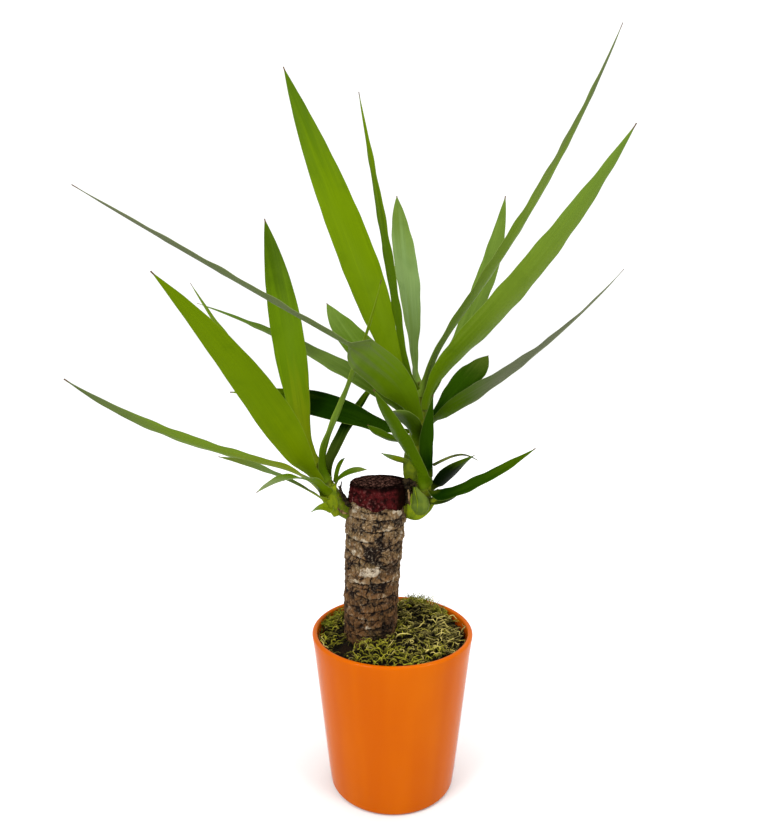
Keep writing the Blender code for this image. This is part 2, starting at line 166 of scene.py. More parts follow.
# The two side shoots: points along each stem and its radius there, in millimetres
SHOOTS = {
    "right": (
        (8, 3, 236, 7.0), (17, 4, 237.5, 8.6), (22.5, 4.5, 245, 9.2), (23.6, 5, 258, 8.8),
        (22, 5, 275, 8.8), (21, 5, 300, 7.8), (21.5, 5, 322, 5.8), (22, 5, 336, 3.2),
    ),
    "left": (
        (-28, 3, 228, 6.5), (-40, 2.5, 235, 7.2), (-48, 2, 244.5, 7.0),
        (-54, 2, 255, 6.3), (-57, 2, 264, 5.0), (-58, 2, 272, 3.0),
    ),
}
STEM_STEPS = 3
SHOOT_SIDES = 40
SHOOT_FINE_STEPS = 14
SHOOT_SCAR_PITCH = 4.6
# The rounded end of a stem: each ring's share of the last one's radius, and how far above it
STEM_TIP = ((0.8, 0.0009), (0.4, 0.0018))


class Leaf(NamedTuple):
    """One blade. Lengths are millimetres and angles degrees.

    The name starts with the shoot's, and tones are the colours near the root, in the middle
    and near the tip, which paint the blade's light and shade as well as its green. up is the
    distance along the shoot's stem and around the side of the stem that the root is on. The
    blade starts along heading and rise, which swerve and arch change evenly up to the tip. roll
    turns its face about its own length at the root, and twist adds to it up to the tip. clasp is
    how much more steeply it leaves the stem than its rise says, which fades over its first
    quarter. peak is where it is widest. bend is a crease: its place, and what it adds to heading,
    rise and roll.
    """

    name: str
    tones: str
    up: float
    around: float
    length: float
    width: float
    heading: float
    swerve: float
    rise: float
    arch: float
    roll: float = 0.0
    twist: float = 0.0
    clasp: float = 0.0
    root: float = 9.0
    peak: float = 0.45
    point: float = 1.5
    bend: tuple = ()

    @property
    def node(self):
        return f"leaf_{self.name}"

    @property
    def stem(self):
        return SHOOTS[self.name.split("_")[0]]


LEAVES = (
    Leaf("left_wide", "sunny bright bright", 42, 228, 208, 29, 223, -4, 60, -16, 45, 14, -11, peak=0.32,
         point=1.7),
    Leaf("left_upright", "lime fresh shade", 52, 92, 222, 28, 131, -3, 80, -13, -68, 34, -60, root=5,
         peak=0.5, point=2),
    Leaf("left_low_long", "lime meadow dusk", 34, 182, 215, 21, 176, 47, 8, 31, 16, 38, 48, peak=0.18),
    Leaf("left_low_short", "lime grey olive", 27, 210, 105, 10, 222, -5, 37, -18, -10, -20, peak=0.65,
         point=2),
    Leaf("left_bent", "bright fresh dusty", 31, 250, 90, 19, 243, -9, 46, -64),
    Leaf("left_bract", "glow glow silver", 22, 225, 19, 9, 219, -6, 32, -61, -70, 56, -60, root=6, peak=0.2,
         point=1.1),
    Leaf("left_inner", "clear spring sunny", 41, 320, 172, 14, 346, -53, 67, -7, -6, 43, 60, peak=0.22,
         point=1.1),
    Leaf("left_dark", "moss deep fresh", 42, 55, 124, 16, 44, 38, 63, -57, -13, 0, 24, root=7, peak=0.17,
         point=1.5),
    Leaf("left_spur", "shade clear clear", 34, 356, 27, 4, 62, 3, 98, -92, -3, 12, 8, root=4, peak=0.6,
         point=2.2),
    Leaf("left_hook", "shade leafy olive", 35, 325, 32, 6, 343, 20, 61, -68, 24, 24, 2, root=3.5, peak=0.63,
         point=2.2),
    Leaf("left_back", "fresh sunny bright", 41, 170, 193, 24, 150, 35, 51, 10, -18, 10, 5, root=6, peak=0.38,
         point=1.4),
    Leaf("right_widest", "bright bright leafy", 98, 150, 307, 33, 165, -40, 73, -16, -28, -18, -18, root=7,
         peak=0.34, point=1.8),
    Leaf("right_upright", "clear leafy bright", 104, 225, 220, 16, 226, 3, 76, -1, -20, -8, -26, root=7,
         peak=0.48, point=1.7),
    Leaf("right_grey", "soft silver dull", 103, 85, 208, 29, 106, -14, 83, -44, 65, -60, -60, root=7,
         point=1.7),
    Leaf("right_back", "clear dull dull", 91, 50, 222, 23, 39, 29, 42, 22, -15, 10, 15, root=8, peak=0.48,
         point=1.9),
    Leaf("right_tallest", "spring meadow dusk", 100, 325, 308, 24, 349, 16, 50.5, 18.5, -8, -27, 38, root=13,
         peak=0.40, point=1.2),
    Leaf("right_broad", "fresh meadow soft", 90, 320, 248, 29, 329, -8, 39, 18, -18, -5, 47, root=8,
         peak=0.34, point=2),
    Leaf("right_slim", "shade pewter pewter", 75, 336, 190, 21, 327, -6, 25.4, 23.2, 50, -30, 23, root=11,
         peak=0.26, point=1.15),
    Leaf("right_spoon", "deep dark moss", 79, 30, 136, 26, 51, 17, 30, -17, -16, 41, -20, peak=0.55),
    Leaf("right_low", "deep dark shade", 24, 322, 112, 16, 309, 8, 22, 17, 30, 20, -45, peak=0.2, point=2.4),
    Leaf("right_folded", "black black shade", 24, 354, 49, 17, 322, 8, 53, -20, -34, 10, -8, root=6,
         peak=0.41, point=1.3),
    Leaf("right_creased", "fresh dusk pewter", 81, 245, 313, 28, 235, 2, 27, 2, 54, 42, 38,
         bend=(0.31, -54, 2, -64), root=10, peak=0.17, point=1.1),
    Leaf("right_front", "clear leafy leafy", 27, 290, 123, 17, 235, 12, 48, -8, -20, 22, 15, peak=0.33,
         point=2.2),
    Leaf("right_stub", "shade shade soft", 62, 265, 72, 16, 244, 9, 47, -38, -5, 18, 30, peak=0.42,
         point=2.4),
    Leaf("right_arching", "dark deep bright", 70, 183, 173, 25, 156, 1, 23, -25, -22, -52, -24, peak=0.47,
         point=1.1),
    Leaf("right_pale", "fresh leafy leafy", 62, 200, 49, 9, 221, 5, 10, 27, 20, 15, 16, peak=0.65, point=2),
    Leaf("right_far", "clear clear soft", 93, 108, 155, 31, 135, -16, 23, 14, -8, -10, 18, root=8, peak=0.4,
         point=2.4),
    Leaf("right_stem_side", "deep dark dark", 35, 306, 76, 14, 247, 47, 57, 14, 60, -60, 34, root=7,
         peak=0.43, point=1.3),
    Leaf("right_bract", "olive lime grey", 47, 205, 35, 8, 222, 8, 19, 6, 28, root=7),
    Leaf("right_low_bract", "moss leafy shade", 20, 330, 31, 10, 308, 39, -8, 60, 33, -24, -60, root=7,
         peak=0.26, point=2.5),
    Leaf("right_hidden", "shade dull leafy", 79, 168, 222, 26, 152, 13, 30, -12, -16, 10, 16, peak=0.35,
         point=1.1),
)

# Blade colours, as linear albedo. Each leaf's tones are set to how light or dark that part of it
# shows, so besides its green they paint its light and shade: the darkest tones paint shade on
# leaves deep in the plant or turned away, the brightest paint light on lit ones, and the greyish
# ones paint a sheen of the white surroundings over the leaf's own grey-green.
TONES = {
    "sunny": (0.105, 0.160, 0.0003), "bright": (0.082, 0.135, 0.0003), "fresh": (0.074, 0.132, 0.0010),
    "clear": (0.052, 0.098, 0.0006), "shade": (0.036, 0.070, 0.0008), "lime": (0.130, 0.175, 0.0020),
    "soft": (0.095, 0.155, 0.018), "grey": (0.110, 0.172, 0.045), "dusty": (0.125, 0.160, 0.060),
    "olive": (0.082, 0.115, 0.014), "moss": (0.038, 0.060, 0.006), "leafy": (0.043, 0.083, 0.0008),
    "meadow": (0.104, 0.164, 0.012), "pewter": (0.088, 0.098, 0.055), "dull": (0.074, 0.120, 0.014),
    "dusk": (0.076, 0.100, 0.034), "spring": (0.130, 0.205, 0.020), "glow": (0.170, 0.225, 0.004),
    "silver": (0.132, 0.200, 0.060), "dark": (0.014, 0.040, 0.0008), "deep": (0.005, 0.020, 0.0005),
    "black": (0.002, 0.006, 0.0003),
}


class Look:
    """A Principled material. Its calls add nodes and return their outputs, and paint lays on colour."""

    def __init__(self, name, roughness, specular, colour):
        self.material = bpy.data.materials.new(name)
        self.material.use_nodes = True
        self.tree = self.material.node_tree
        self.shader = self.tree.nodes["Principled BSDF"]
        self.set("Roughness", roughness)
        self.set("Specular IOR Level", specular)
        self.colour = colour
        self.where = self.place((1, 1, 1))

    def feed(self, socket, value):
        if isinstance(value, bpy.types.NodeSocket):
            self.tree.links.new(value, socket)
        elif isinstance(value, (int, float)):
            socket.default_value = value
        else:
            values = tuple(value)
            socket.default_value = values + (1.0,) * (len(socket.default_value) - len(values))

    def set(self, name, value):
        self.feed(self.shader.inputs[name], value)

    def node(self, kind, output, inputs, **settings):
        made = self.tree.nodes.new(kind)
        for key, value in settings.items():
            setattr(made, key, value)
        for key, value in inputs.items():
            self.feed(made.inputs[key], value)
        return made.outputs[output]

    def place(self, stretch, shift=(0, 0, 0)):
        """Object coordinates in metres, stretched and shifted."""
        where = self.node("ShaderNodeTexCoord", "Object", {})
        return self.node("ShaderNodeMapping", 0, {"Vector": where, "Location": shift, "Scale": stretch})

    def axis(self, name):
        return self.node("ShaderNodeSeparateXYZ", name, {"Vector": self.where})

    def length(self, vector):
        return self.node("ShaderNodeVectorMath", "Value", {0: vector}, operation="LENGTH")

    def number(self, name):
        """A number that the mesh carries at each point."""
        return self.node("ShaderNodeAttribute", "Fac", {}, attribute_name=name)

    def noise(self, scale, detail=3.0, rough=0.5, at=None):
        where = self.where if at is None else at
        inputs = {"Vector": where, "Scale": scale, "Detail": detail, "Roughness": rough}
        return self.node("ShaderNodeTexNoise", "Fac", inputs)

    def add(self, a, b):
        return self.node("ShaderNodeMath", 0, {0: a, 1: b}, operation="ADD")

    def times(self, a, b):
        return self.node("ShaderNodeMath", 0, {0: a, 1: b}, operation="MULTIPLY")

    def ramp(self, value, low, high, to_low=0.0, to_high=1.0):
        """A value's stretch from low to high, brought to another stretch and held at its ends."""
        inputs = {"Value": value, "From Min": low, "From Max": high, "To Min": to_low, "To Max": to_high}
        return self.node("ShaderNodeMapRange", "Result", inputs, interpolation_type="SMOOTHSTEP")

    def mix(self, share, first, second, blend="MIX"):
        made = self.tree.nodes.new("ShaderNodeMix")
        made.data_type = "RGBA"
        made.blend_type = blend
        for socket, value in zip((made.inputs[0], made.inputs[6], made.inputs[7]), (share, first, second)):
            self.feed(socket, value)
        return made.outputs[2]

    def paint(self, colour, value, *stretch):
        """Lays a colour over what is there, by a value or by its ramp over a stretch."""
        share = self.ramp(value, *stretch) if stretch else value
        self.colour = self.mix(share, self.colour, colour)
        self.set("Base Color", self.colour)

    def bump(self, height, distance, strength):
        inputs = {"Height": height, "Distance": distance, "Strength": strength}
        self.set("Normal", self.node("ShaderNodeBump", "Normal", inputs))


def add_object(name, data, place=(0, 0, 0)):
    obj = bpy.data.objects.new(name, data)
    obj.location = place
    bpy.context.scene.collection.objects.link(obj)
    return obj


def piece(name, points, faces, look, nodes=(), numbers=None):
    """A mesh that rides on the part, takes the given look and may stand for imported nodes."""
    mesh = bpy.data.meshes.new(name)
    mesh.from_pydata(np.asarray(points).tolist(), [], faces)
    mesh.shade_smooth()
    mesh.materials.append(look.material)
    for key, values in (numbers or {}).items():
        layer = mesh.attributes.new(key, "FLOAT", "POINT")
        layer.data.foreach_set("value", np.asarray(values, dtype=np.float32).ravel())
    obj = add_object(name, mesh)
    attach(obj, "root")
    if nodes:
        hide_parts(*nodes)
    return obj


def wrapped_faces(rows, columns):
    """Quads of a grid whose rows each close into a ring."""
    row = np.arange(rows - 1)[:, None] * columns
    here = np.arange(columns)[None, :]
    after = (here + 1) % columns
    quads = np.stack([row + here, row + after, row + columns + after, row + columns + here], axis=-1)
    return quads.reshape(-1, 4).tolist()


def solid(name, rings, look, nodes=(), numbers=None):
    """A closed piece through rings of points, with a fan at each end.

    The numbers have a value for each point of the rings, and then one for the middle of each fan.
    """
    rings = np.asarray(rings)
    rows, columns, _ = rings.shape
    points = np.vstack([rings.reshape(-1, 3), rings[0].mean(axis=0), rings[-1].mean(axis=0)])
    faces = wrapped_faces(rows, columns)
    last = (rows - 1) * columns
    for i in range(columns):
        after = (i + 1) % columns
        faces.append([after, i, rows * columns])
        faces.append([last + i, last + after, rows * columns + 1])
    piece(name, points, faces, look, nodes, numbers)


def ripple(points, size, octaves, seed):
    """Smooth noise from about -1 to 1 at each point, with bumps of a given size."""
    shift = Vector((seed * 7.3, seed * 3.1, seed * 5.7))
    flat = np.asarray(points).reshape(-1, 3) / size
    values = [noise.fractal(Vector(p) + shift, 1.0, 2.0, octaves) for p in flat]
    return np.array(values).reshape(np.shape(points)[:-1])


def smooth_step(value, low, high):
    share = np.clip((value - low) / (high - low), 0, 1)
    return share * share * (3 - 2 * share)


def unit(vectors):
    """The directions of vectors, as vectors of length 1."""
    return vectors / np.maximum(np.linalg.norm(vectors, axis=-1, keepdims=True), 1e-9)


def turns(count):
    """Even angles round a circle, in radians."""
    return np.linspace(0, math.tau, count, endpoint=False)


def circle(angles, radius, height):
    return np.column_stack([np.cos(angles) * radius, np.sin(angles) * radius, np.full(len(angles), height)])


def arc(centre, radius, start, end, steps):
    """Points of an arc in the profile plane, from one angle to another in degrees."""
    angles = np.radians(np.linspace(start, end, steps + 1))
    return [(centre[0] + radius * math.cos(a), centre[1] + radius * math.sin(a)) for a in angles]


def pot_wall_inner(height):
    share = height / POT_HEIGHT
    return POT_FOOT_RADIUS + (POT_RIM_RADIUS - POT_FOOT_RADIUS) * share - POT_WALL


def glaze_look():
    look = Look("orange_glaze", 0.07, 0.04, (0.392, 0.072, 0.0001))
    look.paint((0.437, 0.090, 0.0001), look.noise(1.0, 2.0, at=look.place((40, 40, 2))), 0.3, 0.7)
    look.paint((0.382, 0.066, 0.0001), look.noise(22.0), 0.35, 0.75, 0.0, 0.3)
    # Painted shade: the glaze turns deeper red on the inner wall below the rim, where the pot's own wall
    # shades it
    flat = look.length(look.place((1, 1, 0)))
    inside = look.times(look.ramp(flat, 0.0608, 0.0624, 0.75, 0.0), look.ramp(look.axis("Z"), 0.104, 0.110))
    look.paint((0.270, 0.030, 0.0001), inside)
    look.bump(look.noise(160.0, 2.0), 0.00005, 0.25)
    return look


def build_pot():
    lip = POT_WALL / 2
    inner_foot = pot_wall_inner(POT_FLOOR) - POT_INNER_FOOT_ROUND
    profile = [(POT_MIDDLE, POT_FLOOR), (inner_foot * 0.5, POT_FLOOR)]
    profile += arc((inner_foot, POT_FLOOR + POT_INNER_FOOT_ROUND), POT_INNER_FOOT_ROUND, -90, 0, 6)
    wall_low, wall_high = profile[-1][1], POT_HEIGHT - lip
    for i in range(1, POT_WALL_RINGS):
        height = wall_low + (wall_high - wall_low) * i / POT_WALL_RINGS
        profile.append((pot_wall_inner(height), height))
    profile += arc((POT_RIM_RADIUS - lip, POT_HEIGHT - lip), lip, 180, 0, 14)
    for i in range(POT_WALL_RINGS - 1, 0, -1):
        height = POT_FOOT_ROUND + (wall_high - POT_FOOT_ROUND) * i / POT_WALL_RINGS
        profile.append((pot_wall_inner(height) + POT_WALL, height))
    profile += arc((POT_FOOT_RADIUS - POT_FOOT_ROUND, POT_FOOT_ROUND), POT_FOOT_ROUND, 0, -90, 8)
    profile += [(POT_FOOT_RADIUS * 0.5, 0.0), (POT_MIDDLE, 0.0)]
    rings = [circle(turns(POT_SIDES), radius, height) for radius, height in profile]
    solid("glazed_pot", rings, glaze_look(), ["pot"])


def trunk_axis(height):
    x, y = TRUNK_MOSS_PLACE
    above = max(0.0, (height - TRUNK_SWEEP_START) / TRUNK_SWEEP_START)
    return x + TRUNK_LEAN * (height - TRUNK_SWEEP_START) + TRUNK_SWEEP * above**3, y


def trunk_radius(height):
    heights, radii = zip(*TRUNK_RADII)
    return float(np.interp(height / MM, heights, radii)) * MM


def trunk_ring(height, angles, extra=0.0):
    """Points round the cane at a height, which may differ from angle to angle."""
    heights = np.broadcast_to(height, angles.shape)
    axis = np.array([trunk_axis(z) for z in heights])
    radius = np.array([trunk_radius(z) for z in heights]) + extra
    x, y = axis[:, 0] + radius * np.cos(angles), axis[:, 1] + radius * np.sin(angles)
    return np.column_stack([x, y, heights])


# Marks on the bark: the angle and height of each, in degrees and millimetres, its half width and
# half height in millimetres, its tilt in degrees, how far it stands out or in, and how pale it is
BARK_MARKS = (
    (-72, 212, 10.0, 6.5, -25, -0.5, -1.0), (-92, 204, 9.0, 6.5, -30, -0.4, -1.2),
    (-46, 191, 8.0, 7.5, 0, -0.2, -1.2), (-36, 228, 6.0, 5.5, 10, -0.3, -1.1),
    (-66, 229, 5.0, 3.0, -20, -0.4, -0.8), (-150, 214, 3.0, 9.0, 0, -0.1, 0.5),
    (-124, 222, 6.0, 4.0, -12, 0.2, 0.5), (-135, 167, 8.0, 5.0, 0, -0.2, -0.8),
    (-45, 140, 9.0, 9.0, 0, -0.5, -1.2), (-88, 224, 9.0, 3.5, -10, -0.3, -0.8),
    (-96, 201, 6.0, 4.2, -32, -1.7, -0.5), (-72, 195, 5.5, 2.4, -28, -1.4, -0.5),
    (-106, 208, 5.5, 2.4, -40, -1.0, -0.4), (-88, 196.5, 5.5, 1.8, -25, -1.2, -0.5),
    (-93, 188.5, 9.5, 4.2, 6, 1.0, 1.0), (-76, 222.5, 5.0, 1.6, 4, 0.9, 1.1),
    (-44, 235.5, 6.0, 2.8, -18, 0.9, 1.1), (-137, 240, 6.0, 5.0, 20, 0.5, 0.8),
    (-120, 215.6, 8.0, 1.3, -8, 0.7, 0.8), (-132, 204.5, 3.2, 2.6, 0, 0.5, 0.9),
    (-30, 216, 3.0, 5.0, 10, 0.5, 0.5), (-118, 180, 7.0, 1.1, -4, 0.6, 0.7),
    (-36, 182, 4.0, 2.0, 15, 0.5, 0.6), (-94, 142, 3.6, 1.6, 8, 0.5, 0.8),
    (-60, 143, 3.5, 2.6, 0, -0.6, -0.2), (-148, 170, 5.0, 1.6, -10, 0.5, 0.5),
    (40, 205, 9.0, 3.5, 12, 0.8, 0.9), (95, 176, 8.0, 2.5, -10, 0.8, 0.8),
    (150, 226, 7.0, 2.0, 8, 0.8, 0.9), (120, 196, 5.5, 3.6, -30, -1.3, -0.4),
    (10, 168, 6.0, 1.8, -8, 0.6, 0.6),
)
# Ledges of shed leaves: the angle of each one's middle and its half width in degrees, its height
# and how much it climbs to its left end in millimetres, and its strength
BARK_LEDGES = (
    (-95, 62, 231, -1.0, 0.8), (-42, 46, 223, 1.2, 1.0), (-130, 42, 214, -1.6, 1.0),
    (-58, 30, 209, 1.8, 0.6), (-130, 36, 201, -4.5, 0.9), (-45, 40, 195, 3.2, 1.0),
    (-95, 62, 178.5, 0.8, 1.0), (-128, 36, 169, -2.8, 0.9), (-58, 38, 166.5, 1.4, 0.8),
    (-140, 30, 159, -1.4, 0.7), (-72, 46, 155, 1.0, 0.6), (-112, 44, 148.5, -1.0, 0.7),
    (-60, 40, 141, 1.0, 0.6), (-92, 60, 134, 0.6, 0.6), (50, 60, 228, 2.0, 0.9),
    (145, 52, 219, -2.0, 1.0), (15, 42, 211, 1.6, 0.8), (95, 55, 207, 2.4, 0.9),
    (170, 45, 193, -1.6, 0.9), (50, 58, 190, -2.0, 1.0), (125, 56, 180, 1.6, 0.9),
    (0, 42, 176, -1.4, 0.9), (70, 55, 168, -2.2, 0.9), (165, 46, 160, 1.6, 0.8), (40, 50, 155, 1.6, 0.8),
    (115, 60, 146, -1.6, 0.8), (20, 60, 139, 1.0, 0.7),
)
# Cracks up the cane: angle, lowest and highest point and depth
BARK_SPLITS = (
    (-89, 219, 236, 1.2), (-96, 162, 182, 1.3), (-57, 203, 217, 1.1), (-128, 180, 197, 0.9),
    (-70, 209, 222, 0.6), (-40, 150, 170, 0.9), (-112, 136, 150, 0.8), (-140, 186, 200, 0.8),
    (30, 150, 175, 1.0), (75, 185, 215, 1.1), (130, 140, 165, 1.0), (175, 195, 225, 1.0),
)


def turn_from(angles, centre):
    """How far round from a centre in degrees each angle lies, in radians to either side."""
    return np.angle(np.exp(1j * (angles - math.radians(centre))))


def groove(points, size, seed, width):
    """1 along the wandering lines where a ripple crosses zero, and 0 a little way from them."""
    return np.exp(-((ripple(points, size, 2, seed) / width) ** 2))


def bark_relief(angles, heights, points):
    """How far the bark stands out at each point, in millimetres, and how pale it is there."""
    up = heights / MM
    bends = [ripple(points, 0.012, 2, seed) for seed in (21.0, 22.0, 23.0)]
    bent = points + 0.0034 * np.stack(bends, axis=-1)
    rough = 0.45 + 0.75 * smooth_step(ripple(points, 0.013, 2, 24.0), -0.45, 0.35)
    ragged = 1.1 * ripple(bent * (1, 1, 0.7), 0.0055, 3, 1.0) + 0.4 * ripple(points, 0.0016, 2, 14.0)
    relief = 0.75 * ripple(bent * (1, 1, 0.7), 0.0095, 3, 2.0) + 0.45 * ripple(bent, 0.0034, 3, 6.0)
    relief += 0.28 * ripple(bent * (1, 1, 0.3), 0.0012, 2, 5.0)
    relief -= 1.25 * rough * groove(bent * (1, 1, 0.55), 0.0088, 3.0, 0.055)
    relief -= 1.15 * rough * groove(bent * (0.55, 0.55, 1.4), 0.0100, 4.0, 0.055)
    relief -= 0.65 * rough * groove(bent, 0.0042, 16.0, 0.06)
    pale = 0.40 * ripple(bent * (1, 1, 1.8), 0.0056, 3, 15.0)
    for centre, half_width, height, climb, strength in BARK_LEDGES:
        turn = turn_from(angles, centre) / math.radians(half_width)
        shown = strength * (1 - smooth_step(np.abs(turn) + 0.2 * ragged, 0.75, 1.1))
        above = up - height - climb * turn - ragged
        plate = smooth_step(above, -0.1, 0.8) * (1 - smooth_step(above, 0.8, 7.0))
        relief += shown * (0.95 * plate - 1.35 * np.exp(-(((above + 0.35) / 0.45) ** 2)))
        pale += shown * 0.45 * np.exp(-(((above - 0.8) / 0.6) ** 2))
    for centre, height, half_width, half_height, tilt, depth, paleness in BARK_MARKS:
        away = turn_from(angles, centre) * BARK_MEAN_RADIUS
        rise = up - height
        cos, sin = math.cos(math.radians(tilt)), math.sin(math.radians(tilt))
        far = np.hypot((away * cos + rise * sin) / half_width, (rise * cos - away * sin) / half_height)
        inside = 1 - smooth_step(far + 0.3 * ragged, 0.6, 1.15)
        relief += depth * inside
        pale += paleness * inside
    for centre, low, high, depth in BARK_SPLITS:
        sway = 0.05 * np.sin(heights * 260 + centre) + 0.03 * np.sin(heights * 900 + 2 * centre)
        away = turn_from(angles - sway, centre) * BARK_MEAN_RADIUS
        along = smooth_step(up, low - 2, low + 2) * (1 - smooth_step(up, high - 2, high + 2))
        relief -= depth * along * np.exp(-((away / 0.5) ** 2))
    return relief, pale


def bark_look():
    look = Look("bark", 0.9, 0.1, (0.112, 0.052, 0.017))
    height, relief, pale = look.axis("Z"), look.number("relief"), look.number("pale")
    fine = look.noise(1000.0, 4.0, 0.65, look.place((1, 1, 0.3)))
    blotch = look.noise(190.0, 4.0, 0.65)
    patch = look.noise(85.0, at=look.place((1, 1, 1.6)))
    grain = look.ramp(blotch, 0.3, 0.7, -0.75, 0.75)
    up = look.add(height, look.ramp(patch, 0.3, 0.7, -0.018, 0.018))
    look.paint((0.168, 0.102, 0.044), up, 0.150, 0.222)
    look.paint((0.085, 0.034, 0.016), look.noise(110.0), 0.52, 0.72, 0.0, 0.5)
    look.paint((0.090, 0.072, 0.028), look.noise(70.0), 0.55, 0.75, 0.0, 0.5)
    chips = look.add(look.add(pale, look.ramp(height, 0.135, 0.200, -0.30, 0.0)), grain)
    look.paint((0.44, 0.375, 0.28), chips, 0.35, 1.25)
    look.paint((0.034, 0.017, 0.008), look.add(pale, look.times(grain, 0.4)), -1.15, -0.25, 0.85, 0.0)
    # Painted shade: near black where the bark sinks in, in its grooves, cracks and the crevices under its
    # ledges, broken up by the grain
    look.paint((0.005, 0.0025, 0.0015), look.add(relief, look.times(grain, 0.7)), -1.10, 0.40, 1.0, 0.0)
    look.paint((0.30, 0.235, 0.15), look.add(relief, look.times(grain, 0.8)), 0.5, 1.8, 0.0, 0.6)
    look.paint((0.012, 0.006, 0.003), fine, 0.32, 0.62, 0.62, 0.0)
    dust = look.ramp(look.noise(520.0, 3.0, 0.7), 0.52, 0.70, 0.0, 0.45)
    look.paint((0.36, 0.29, 0.20), look.times(dust, look.ramp(height, 0.150, 0.215, 0.35, 1.0)))
    look.bump(look.add(look.times(fine, 0.7), blotch), 0.0009, 0.9)
    return look


def build_trunk():
    angles = turns(TRUNK_SIDES)
    buried = np.linspace(TRUNK_FOOT, BARK_SHOWS_FROM, 8)[:-1]
    bare = np.arange(BARK_SHOWS_FROM, BARK_SHOWS_TO, BARK_STEP)
    waxed = np.linspace(BARK_SHOWS_TO, TRUNK_TOP, 8)
    rings = np.array([trunk_ring(height, angles) for height in (*buried, *bare, *waxed)])
    grid_angles = np.broadcast_to(angles, rings.shape[:2])
    heights = rings[..., 2]
    shows = smooth_step(heights, *BARK_STARTS) * (1 - smooth_step(heights, *BARK_ENDS))
    relief, pale = bark_relief(grid_angles, heights, rings)
    out = relief * shows * MM
    rings[..., 0] += out * np.cos(grid_angles)
    rings[..., 1] += out * np.sin(grid_angles)
    numbers = {"relief": np.append(relief, [0.0, 0.0]), "pale": np.append(pale, [0.0, 0.0])}
    solid("bark", rings, bark_look(), ["trunk"], numbers)


def wax_edge(angle):
    """The height of the wax's ragged lower edge."""
    ragged = 0.6 * np.sin(2 * angle + 0.6) + 0.35 * np.sin(5 * angle + 1.0) + 0.25 * np.sin(9 * angle)
    return WAX_EDGE_HEIGHT + WAX_EDGE_WAVE * ragged


def wax_look():
    """Dark burgundy with pale crumbs low on the left, nearly black on the right, grainy on top."""
    look = Look("dark_wax", 0.6, 0.0, (0.008, 0.0025, 0.0022))
    across, height = look.axis("X"), look.axis("Z")
    grain = look.noise(800.0, 4.0, 0.7)
    lumps = look.noise(230.0, 4.0, 0.65)
    worms = look.noise(420.0, 3.0, 0.6)
    look.paint((0.058, 0.0065, 0.0070), lumps, 0.35, 0.66)
    low = look.ramp(height, 0.2385, 0.2520, 1.0, 0.35)
    near = look.times(look.ramp(across, -0.036, 0.002, 1.0, 0.15), low)
    look.paint((0.21, 0.080, 0.070), look.times(look.ramp(worms, 0.55, 0.68), near))
    look.paint((0.004, 0.002, 0.001), across, 0.000, 0.006, 0.0, 0.93)
    look.paint((0.0035, 0.0012, 0.0010), height, 0.2525, 0.2560, 0.0, 0.85)
    top = look.mix(look.ramp(worms, 0.48, 0.66), (0.008, 0.003, 0.0022), (0.200, 0.095, 0.072))
    top = look.mix(look.ramp(lumps, 0.34, 0.54, 0.8, 0.0), top, (0.010, 0.003, 0.0024))
    rim = look.ramp(look.length(look.place((1, 1, 1), (0.0137, -0.003, -0.2567))), 0.0165, 0.0215, 0.0, 0.9)
    look.paint(look.mix(rim, top, (0.0022, 0.0010, 0.0008)), height, 0.2556, 0.2568)
    look.bump(look.add(grain, look.times(lumps, 1.5)), 0.0012, 1.0)
    return look


def build_wax_cap():
    """A lumpy skin: the top from its middle out, a round shoulder, the side, and back up inside."""
    angles = turns(WAX_SIDES)
    edge = wax_edge(angles) + 0.0012 * ripple(circle(angles, 0.02, 0.0), 0.0035, 3, 8.0)
    top = TRUNK_TOP + GAP + WAX_THICKNESS
    outside = GAP + WAX_THICKNESS
    middle = trunk_ring(top, angles).mean(axis=0)
    reach = trunk_ring(top, angles, outside) - middle
    rings = [middle + reach * share for share in (0.03, *np.linspace(0.07, 0.97, WAX_TOP_RINGS))]
    for turn in np.radians(np.linspace(15, 90, 6)):
        drop, inset = WAX_SHOULDER * (1 - math.cos(turn)), WAX_SHOULDER * (1 - math.sin(turn))
        rings.append(trunk_ring(top - drop, angles, outside - inset))
    for share in np.arange(1, WAX_SIDE_RINGS + 1) / WAX_SIDE_RINGS:
        height = (top - WAX_SHOULDER) * (1 - share) + edge * share
        rings.append(trunk_ring(height, angles, outside - WAX_THINNING * smooth_step(share, 0.85, 1.0)))
    skin_rings = len(rings)
    for share in np.linspace(0, 1, WAX_INNER_RINGS):
        rings.append(trunk_ring(edge + 0.0002 + (TRUNK_TOP + GAP - edge) * share, angles, GAP))
    inner = trunk_ring(TRUNK_TOP + GAP, angles, GAP)
    rings.append(inner.mean(axis=0) + (inner - inner.mean(axis=0)) * 0.1)
    rings = np.array(rings)
    skin = rings[:skin_rings]
    push = (0.75 * ripple(skin, 0.0045, 3, 9.0) + 0.40 * ripple(skin, 0.0014, 2, 10.0)) * MM
    on_top = smooth_step(skin[..., 2], top - 0.0008, top)
    out = unit(skin[..., :2] - skin[..., :2].mean(axis=1, keepdims=True))
    skin[..., :2] += out * (push * (1 - on_top))[..., None]
    skin[..., 2] += np.minimum(push, 0.0) * on_top * 0.8
    solid("wax_skin", rings, wax_look(), ["wax_cap"])


def moss_height(x, y, share):
    """The height of the moss: low at the pot's wall, up to the cane, with a mound and lumps."""
    rise = MOSS_TRUNK_HEIGHT + (MOSS_EDGE_HEIGHT - MOSS_TRUNK_HEIGHT) * share
    away = np.hypot(x - MOSS_MOUND_PLACE[0], y - MOSS_MOUND_PLACE[1])
    mound = MOSS_MOUND_HEIGHT * np.exp(-((away / MOSS_MOUND_SPREAD) ** 2))
    lumps = MOSS_LUMP * (np.sin(310 * x + 1.0) * np.sin(270 * y) + 0.7 * np.sin(520 * y - 430 * x))
    return rise + mound + lumps


